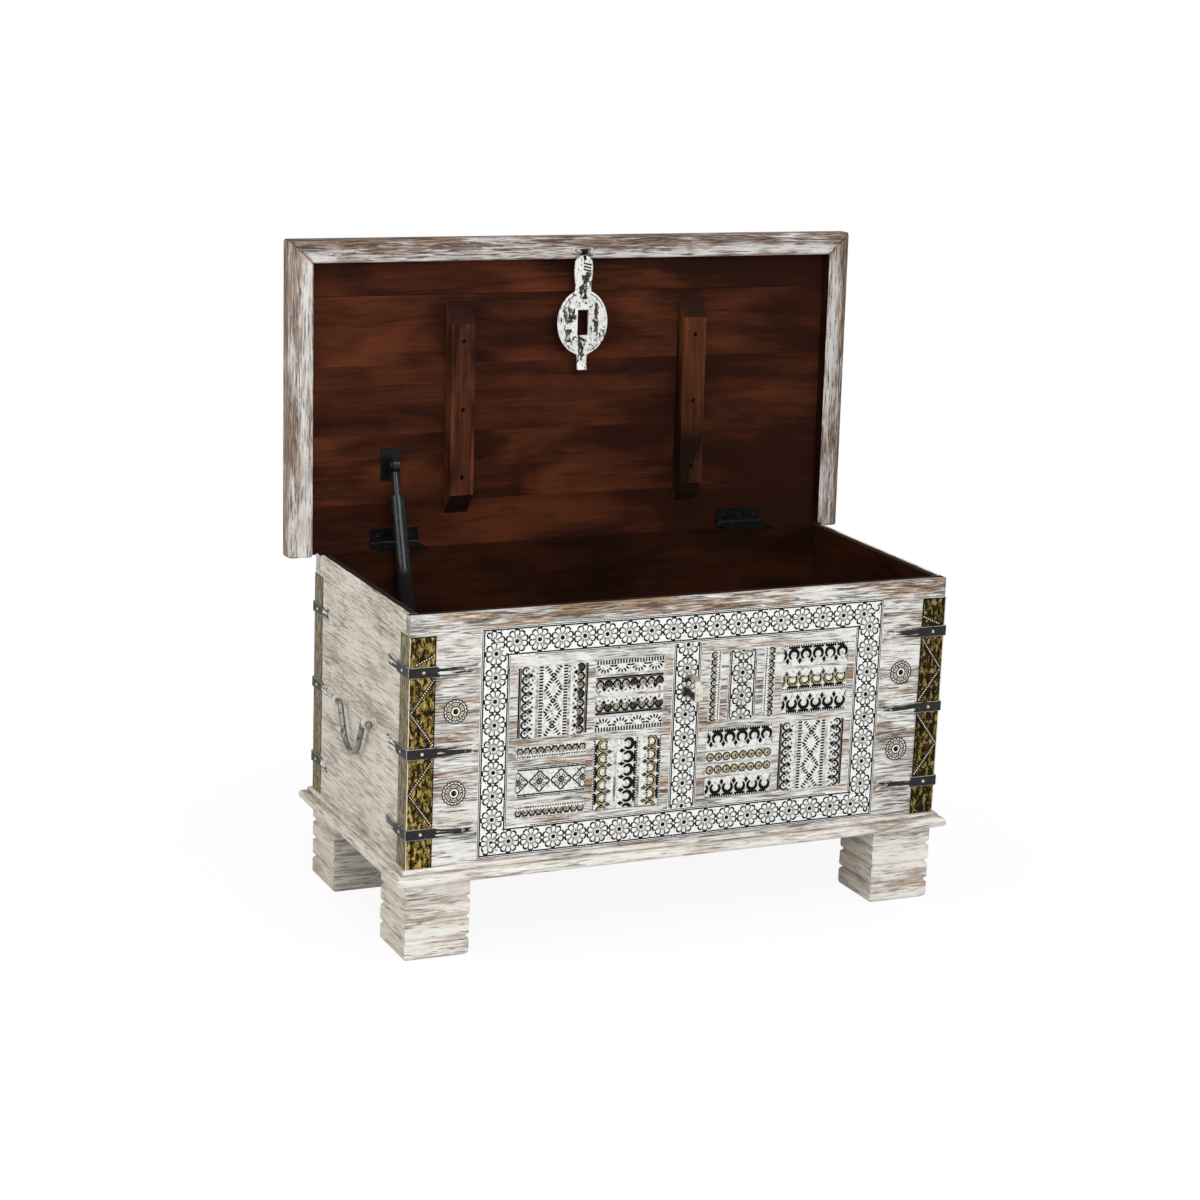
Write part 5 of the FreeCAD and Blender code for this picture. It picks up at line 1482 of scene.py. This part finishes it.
@dataclass
class Lid:
    """The lid's boards, rails and battens, its hinges, and the stay that holds it."""

    lean: float = 1.3
    board_ease: float = 0.0009
    rail_ease: float = 0.0032
    batten_ease: float = 0.0012

    def build(self) -> None:
        """Ease and finish the lid's pieces."""

        def is_outside(middle: Vector, normal: Vector) -> int:
            """Pick the whitewash for the faces that look away from the chest."""
            return int(normal.y > 0.5)

        def is_end(middle: Vector, normal: Vector) -> int:
            """Pick the darker stain for a batten's chamfered ends."""
            return int(abs(normal.z) > 0.3)

        boards = sorted(node for node in frame["nodes"] if node.startswith("lid_board_"))
        for number, node in enumerate(boards):
            softened(node, "lid", self.board_ease, [plank(number), FRONT_WOOD], is_outside)
        softened("lid_front_rail", "lid", self.rail_ease, [RAIL_WOOD])
        for side in SIDES:
            inward = 1 if side == "left" else -1

            def is_inner(middle: Vector, normal: Vector, inward: int = inward) -> int:
                """Pick the very dark brown for a side rail's face that looks across the lid."""
                return int(normal.x * inward > 0.9)

            softened(f"lid_{side}_rail", "lid", self.rail_ease,
                     [SIDE_RAIL_WOOD[side], RAIL_INSIDE], is_inner)
            softened(f"{side}_batten", "lid", self.batten_ease,
                     [BATTEN_WOOD[side], BATTEN_END], is_end)
            for leaf in ("wall_leaf", "lid_leaf", "pin"):
                dress(f"{side}_hinge_{leaf}", BLACK_METAL)
        for finish, nodes in (
                (BLACK_METAL, ("stay_lid_bracket", "stay_foot_bracket")), (STAY_METAL, ("stay_barrel",)),
                (DULL_STEEL, ("stay_rod",)), (DARK_SCREW, ("batten_screws", "body_screws", "lid_screws"))):
            for node in nodes:
                dress(node, finish)
        self.screw_rings()

    def screw_rings(self) -> None:
        """Lay a dark ring on the wood round each of the battens' sunk screws."""
        work = welded("batten_screws")
        shape = Shape()
        for island in islands(work):
            low, high = (Vector(pick(point[axis] for point in island) for axis in Axis) for pick in (min, max))
            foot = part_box("left_batten" if low.x < 0 else "right_batten")[0]
            centre = (low + high) / 2
            face = foot.y + (centre.z - foot.z) * math.tan(math.radians(self.lean))
            shape.ring(front_lay(centre.x, face, centre.z), (0, 0), 0.0046, 0.0030, 0.0005, Tone.BLACK, 20)
        work.free()
        shape.piece("batten_dark_rings", STRIP_RELIEF, "lid", "steel")


class StapleTone(IntEnum):
    """Which finish a stretch of the staple takes."""

    PALE = 0
    GRIME_AND_SHADOW = 1
    SHANK = 2
    ARCH = 3


class HaspTone(IntEnum):
    """Which finish a stretch of the hasp takes."""

    PAINT = 0
    BARE = 1


@dataclass
class Fittings:
    """The hasp, its staple and the drop handles."""

    length: float = 0.174
    slot_at: float = 0.104
    slot_half: Pair = (0.009, 0.019)
    plate: Pair = (0.040, 0.048)
    strap_half: float = 0.0145
    tongue_half: float = 0.008
    tongue_length: float = 0.026
    curl_length: float = 0.015
    rim: float = 0.0115
    thickness: float = 0.003
    open_angle: float = 91.3
    staple_thick: float = 0.0024

    PATCHES = (
        (0.092, -0.0225, 0.0150, 0.0088), (0.121, -0.0220, 0.0130, 0.0066), (0.105, 0.0215, 0.0300, 0.0040),
        (0.060, -0.0010, 0.0130, 0.0056), (0.139, -0.0020, 0.0160, 0.0046), (0.040, 0.0020, 0.0065, 0.0055))
    ARCH = np.array([
        (0.00, 0.42), (0.08, 0.70), (0.28, 0.95), (0.54, 1.00), (0.80, 0.86), (0.96, 0.54), (1.00, 0.12),
        (1.00, -0.30), (1.00, -0.72), (0.985, -0.92), (0.93, -1.0), (0.78, -0.97), (0.40, -0.80), (0.00, -0.62)])
    BAR = ((-1.0, -0.55), (-0.82, -1.0), (0.82, -1.0), (1.0, -0.55), (1.0, 0.55), (0.82, 1.0), (-0.82, 1.0),
           (-1.0, 0.55))
    OUTER = np.array([0.0, 0.1, 0.22, 0.4, 0.6, 0.78, 0.92, 1.0])

    def build(self) -> None:
        """Finish the fittings."""
        self.staple()
        dress("hasp_eye", RAIL_WOOD)
        for side in SIDES:
            dress(f"{side}_handle", HANDLE_IRON)
            dress(f"{side}_handle_eyes", EYE_PAINT)
        self.hasp()

    def staple(self) -> None:
        """Build the staple: a flat bar that arches out to a straight, pale front and runs back to its lower root."""
        low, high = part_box("hasp_staple")
        thick, middle = self.staple_thick, (low.z + high.z) / 2
        reach, half = high.y - low.y - thick, (high.z - low.z) / 2 - thick
        steps, knots = np.linspace(0, len(self.ARCH) - 1, 61), np.arange(len(self.ARCH))
        line = np.stack([np.interp(steps, knots, self.ARCH[:, k]) for k in range(2)], 1)
        line[2:-2] = (line[:-4] + line[1:-3] * 2 + line[2:-2] * 3 + line[3:-1] * 2 + line[4:]) / 9
        line = np.stack([high.y - line[:, 0] * reach, middle + line[:, 1] * half], 1)
        run = np.gradient(line, axis=0)
        run /= np.linalg.norm(run, axis=1, keepdims=True)
        points, faces, tones, sides = [], [], [], len(self.BAR)
        for (y, z), (dy, dz) in zip(line, run):
            wide = 0.0036 + 0.0019 * ((high.y - y) / reach) ** 1.5
            points += [(wide * a, y + dz * thick * b, z - dy * thick * b) for a, b in self.BAR]
        for i in range(len(line) - 1):
            share = (high.y - (line[i, 0] + line[i + 1, 0]) / 2) / reach
            arched = StapleTone.ARCH if line[i, 1] > middle else StapleTone.SHANK
            outer = StapleTone.PALE if share > 0.9 else arched
            for j in range(sides):
                here, after = i * sides + j, i * sides + (j + 1) % sides
                faces.append((here, after, after + sides, here + sides))
                tones.append(outer if j > 2 else StapleTone.SHANK)
        shape = Shape()
        shape.add(np.array(points), faces, tones)
        lay = front_lay(0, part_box("centre_strip")[0].y, middle)
        # Dark domes on the strip at the staple's roots: grime, and painted shadow of the staple.
        shape.dome(lay, (-0.002, half * 0.42), (0.0064, 0.0050), 0.0007, StapleTone.GRIME_AND_SHADOW, 14)
        shape.dome(lay, (-0.006, -half * 0.80), (0.0085, 0.0080), 0.0007, StapleTone.GRIME_AND_SHADOW, 14)
        item = shape.piece("staple_loop", STAPLE_METALS, "chest", "painted_iron", smooth=35.0)
        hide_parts("hasp_staple")

    def oval(self, at: float) -> float:
        """Give how far within the hasp's oval a distance from its pin lies, less than nothing outside it."""
        return 1 - ((at - self.slot_at) / self.plate[1]) ** 2

    def half_width(self, at: float) -> float:
        """Give the hasp's half width at a distance from its pin.

        Args:
            at: The distance down the hasp.

        Returns:
            Half its width there.
        """
        wide = self.plate[0] * math.sqrt(max(self.oval(at), 0.0))
        if at < self.slot_at:
            waist = self.strap_half - 0.0022 * math.exp(-((at - 0.052) / 0.012) ** 2)
            top = self.strap_half ** 2 - max(0.0, 0.0195 - at) ** 2
            return max(wide, min(waist, math.sqrt(max(top, 1e-8))))
        past = max(0.0, at - (self.length - self.tongue_length))
        return max(wide, self.tongue_half - 0.0012 * past / self.tongue_length)

    def hasp(self) -> None:
        """Build the hasp: a rounded strap, a dished oval round a framed slot, and a turned-up tongue."""
        pin = Vector(next(joint["pos_m"] for joint in frame["joints"] if joint["name"] == "hasp_swing"))
        turn = math.radians(self.open_angle)
        down, out = Vector((0, math.cos(turn), -math.sin(turn))), Vector((0, -math.sin(turn), -math.cos(turn)))
        lay = Lay(pin, down, RIGHT, out)
        shape = Shape()
        self.plate_mesh(shape, lay)
        self.knuckle(shape, lay)
        self.score(shape, lay)
        patches = tuple((pin.x + x, pin.z - at, wide, tall) for at, x, tall, wide in self.PATCHES)
        paint = WornPaint(
            "hasp_paint", (0.70, 0.695, 0.66), (0.020, 0.016, 0.012), chipped=0.552, size=210.0, tall=1.6, soiled=0.7,
            soil_from=0.47, patches=patches)
        item = shape.piece("hasp_plate", [paint, BLACK_METAL], "hasp", "painted_iron", smooth=34.0)
        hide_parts("hasp")

    def plate_mesh(self, shape: Shape, lay: Lay) -> None:
        """Build the hasp's plate as a grid of cells with the slot left out.

        Args:
            shape: What takes the plate.
            lay: The hasp's own plane from its pin.
        """
        slot_x, slot_s = self.slot_half
        slot_low, slot_high = self.slot_at - slot_s, self.slot_at + slot_s
        stations = np.unique(np.round(np.concatenate([
            np.linspace(0.0055, 0.018, 6), np.linspace(0.018, slot_low, 26), np.linspace(slot_low, slot_high, 13),
            np.linspace(slot_high, self.length, 22)]), 6))
        flat, front = [], []
        for at in stations:
            half = self.half_width(at)
            band = min(slot_x, half * 0.55)
            right = band + (half - band) * self.OUTER
            for x in np.concatenate([-right[::-1], [0.0], right]):
                flat.append((at, x))
                front.append(self.crest(at, x, half))
        under, columns, middle = len(flat), len(self.OUTER) * 2 + 1, len(self.OUTER)
        plane = np.array(flat)
        points = np.concatenate([
            lay.put(plane, np.array(front)), lay.put(plane, np.full(under, -self.thickness / 2))])
        solid = {
            (i, j) for i in range(len(stations) - 1) for j in range(columns - 1)
            if abs((stations[i] + stations[i + 1]) / 2 - self.slot_at) >= slot_s or j not in (middle - 1, middle)}
        faces = []
        for i, j in sorted(solid):
            corner = [i * columns + j, (i + 1) * columns + j, (i + 1) * columns + j + 1, i * columns + j + 1]
            faces += [corner, [under + c for c in corner[::-1]]]
            beside = ((i, j - 1), (i + 1, j), (i, j + 1), (i - 1, j))
            for cell, a, b in zip(beside, corner, corner[1:] + corner[:1]):
                if cell not in solid:
                    faces.append([b, a, under + a, under + b])
        shape.add(points, faces, [HaspTone.PAINT] * len(faces))

    def score(self, shape: Shape, lay: Lay) -> None:
        """Cut the notch below the pin, the strap's three slanting marks and the lines inside the oval's rim.

        Args:
            shape: What takes the marks.
            lay: The hasp's own plane from its pin.
        """
        face, dark = lay.lifted(self.thickness / 2), HaspTone.BARE
        shape.stroke(face, np.array([(0.0055, 0.0006), (0.009, 0.0010), (0.0125, 0.0016)]), 0.0042, 0.0003, dark)
        for at in (0.0165, 0.0210, 0.0255):
            shape.stroke(face, np.linspace((at, -0.0010), (at + 0.0030, 0.0115), 4), 0.0023, 0.0003, dark)
        middle = np.array([self.slot_at, 0.0])
        for start, end in ((2.10, 2.85), (3.45, 4.20), (0.35, 0.75), (5.55, 5.95)):
            turns = np.linspace(start, end, 12)
            rim = middle + 0.915 * np.stack([np.cos(turns) * self.plate[1], np.sin(turns) * self.plate[0]], 1)
            shape.stroke(face, rim, 0.0010, 0.0002, dark)

    def crest(self, at: float, across: float, half: float) -> float:
        """Give the hasp's front height at a point.

        Args:
            at: The distance down the hasp.
            across: The distance from its middle line.
            half: Its half width there.

        Returns:
            The height off its middle plane.
        """
        height = self.thickness / 2
        height -= 0.0009 * (1 - min(1.0, (half - abs(across)) / 0.0028)) ** 2
        oval = self.oval(at)
        if oval > 0 and abs(across) > self.rim:
            share = (abs(across) - self.rim) / max(half - self.rim, 1e-6)
            height -= 0.0012 * math.sin(math.pi * min(1.0, share)) * oval
        near_slot = max(abs(across) - self.slot_half[0], abs(at - self.slot_at) - self.slot_half[1])
        height += 0.0009 * math.exp(-(near_slot / 0.0022) ** 2)
        height += 0.0022 * (max(0.0, at - self.length + self.curl_length) / self.curl_length) ** 2
        return height

    def knuckle(self, shape: Shape, lay: Lay) -> None:
        """Build the rolled end round the hasp's pin.

        Args:
            shape: What takes it.
            lay: The hasp's own plane from its pin.
        """
        sides, radius, half = 20, 0.0042, 0.0052
        angles = np.arange(sides) * math.tau / sides
        rows = []
        for share, reach in ((-1, 0.55), (-1, 0.9), (-0.93, 1.0), (0.93, 1.0), (1, 0.9), (1, 0.55)):
            flat = np.stack([radius * reach * np.cos(angles), np.full(sides, half * share)], 1)
            rows.append(lay.put(flat, radius * reach * np.sin(angles)))
        faces = []
        for start in range(0, (len(rows) - 1) * sides, sides):
            for i in range(sides):
                a, b = start + i, start + (i + 1) % sides
                faces.append((b, a, a + sides, b + sides))
        shape.add(np.concatenate(rows), faces, [HaspTone.BARE] * len(faces))


@dataclass
class Studio:
    """The floor, lamps and camera."""

    target: tuple[float, float, float] = (-0.0475, 0.0, 0.4376)
    azimuth: float = 24.8165
    elevation: float = 13.7916
    roll: float = 2.1425
    distance: float = 4.0165
    lens: float = 83.83
    floor_reach: float = 14.0

    LAMPS = (
        ("key_lamp", (-0.5, -3.3, 2.4), 2.2, 82.0), ("side_lamp", (-3.2, -0.9, 1.7), 2.0, 37.0),
        ("top_lamp", (0.0, -0.6, 3.4), 2.6, 46.0))
    WHITE = (1.0, 1.0, 1.0, 1.0)

    def build(self) -> None:
        """Set the stage."""
        self.floor()
        self.world()
        for lamp in self.LAMPS:
            self.lamp(*lamp)
        self.camera()
        bpy.context.scene.view_settings.view_transform = "Standard"

    def floor(self) -> None:
        """Lay a pale floor that reads as white and keeps a soft shadow."""
        reach = self.floor_reach
        mesh = bpy.data.meshes.new("floor")
        mesh.from_pydata(
            [(-reach, -reach, 0), (reach, -reach, 0), (reach, reach, 0), (-reach, reach, 0)], [], [(0, 1, 2, 3)])
        item = shown(mesh)
        sheet = NodeSheet("floor_white", roughness=0.9, specular=0.0)
        sheet.feed(sheet.surface.inputs["Base Color"], (0.86, 0.86, 0.86, 1.0))
        glow = sheet.add("Emission", self.WHITE)
        path = sheet.add("LightPath").outputs
        seen = sheet.sum("MAXIMUM", path["Is Camera Ray"],
                         sheet.sum("MAXIMUM", path["Is Glossy Ray"], path["Is Transmission Ray"]))
        length = sheet.add("VectorMath", sheet.coordinates, operation="LENGTH").outputs["Value"]
        share = sheet.times(seen, sheet.plus(sheet.step(length, 0.35, 1.0), 0.08, 0.92))
        mix = sheet.add("MixShader", share, sheet.surface.outputs[0], glow.outputs[0])
        sheet.feed(sheet.tree.nodes["Material Output"].inputs["Surface"], mix.outputs[0])
        mesh.materials.append(sheet.material)

    def world(self) -> None:
        """Surround the chest with even pale light, and white where the camera looks."""
        world = bpy.data.worlds.new("studio")
        bpy.context.scene.world = world
        world.use_nodes = True
        nodes, links = world.node_tree.nodes, world.node_tree.links
        backdrop, soft = nodes["Background"], nodes.new("ShaderNodeBackground")
        for node, colour, strength in ((backdrop, self.WHITE, 1.0), (soft, (0.96, 0.98, 1.0, 1.0), 0.42)):
            node.inputs["Color"].default_value = colour
            node.inputs["Strength"].default_value = strength
        path, mix = nodes.new("ShaderNodeLightPath"), nodes.new("ShaderNodeMixShader")
        for socket, node in zip(mix.inputs, (path, soft, backdrop)):
            links.new(node.outputs[0], socket)
        links.new(mix.outputs[0], nodes["World Output"].inputs["Surface"])

    def lamp(self, name: str, at: Sequence[float], size: float, power: float) -> None:
        """Hang a soft square lamp that looks at the chest.

        Args:
            name: The lamp's name.
            at: Where it hangs.
            size: Its side.
            power: Its power in watts.
        """
        data = bpy.data.lights.new(name, "AREA")
        data.size = size
        data.energy = power
        item = bpy.data.objects.new(name, data)
        bpy.context.scene.collection.objects.link(item)
        item.location = at
        aim = Vector(self.target) - Vector(at)
        item.rotation_euler = aim.to_track_quat("-Z", "Y").to_euler()

    def camera(self) -> None:
        """Stand the camera where the photograph was taken."""
        azimuth, elevation, roll = (math.radians(v) for v in (self.azimuth, self.elevation, self.roll))
        ahead = Vector((
            math.sin(azimuth) * math.cos(elevation), math.cos(azimuth) * math.cos(elevation), -math.sin(elevation)))
        right = ahead.cross(UP).normalized()
        up = right.cross(ahead)
        tilted_right = right * math.cos(roll) + up * math.sin(roll)
        tilted_up = up * math.cos(roll) - right * math.sin(roll)
        data = bpy.data.cameras.new("camera")
        data.sensor_width = 36.0
        data.lens = self.lens
        data.clip_end = 60.0
        item = bpy.data.objects.new("camera", data)
        bpy.context.scene.collection.objects.link(item)
        turn = Matrix((tilted_right, tilted_up, -ahead)).transposed().to_4x4()
        item.matrix_world = Matrix.Translation(Vector(self.target) - ahead * self.distance) @ turn
        bpy.context.scene.camera = item


def main() -> None:
    """Build the studio and the chest's sub-assemblies in order."""
    logging.basicConfig(level=logging.INFO, format="%(name)s: %(message)s")
    Studio().build()
    for part in (Carcass(), StampedFront(), CornerIrons(), Lid(), Fittings()):
        part.build()
        log.info("%s done", type(part).__name__)


if __name__ == "__main__":
    main()
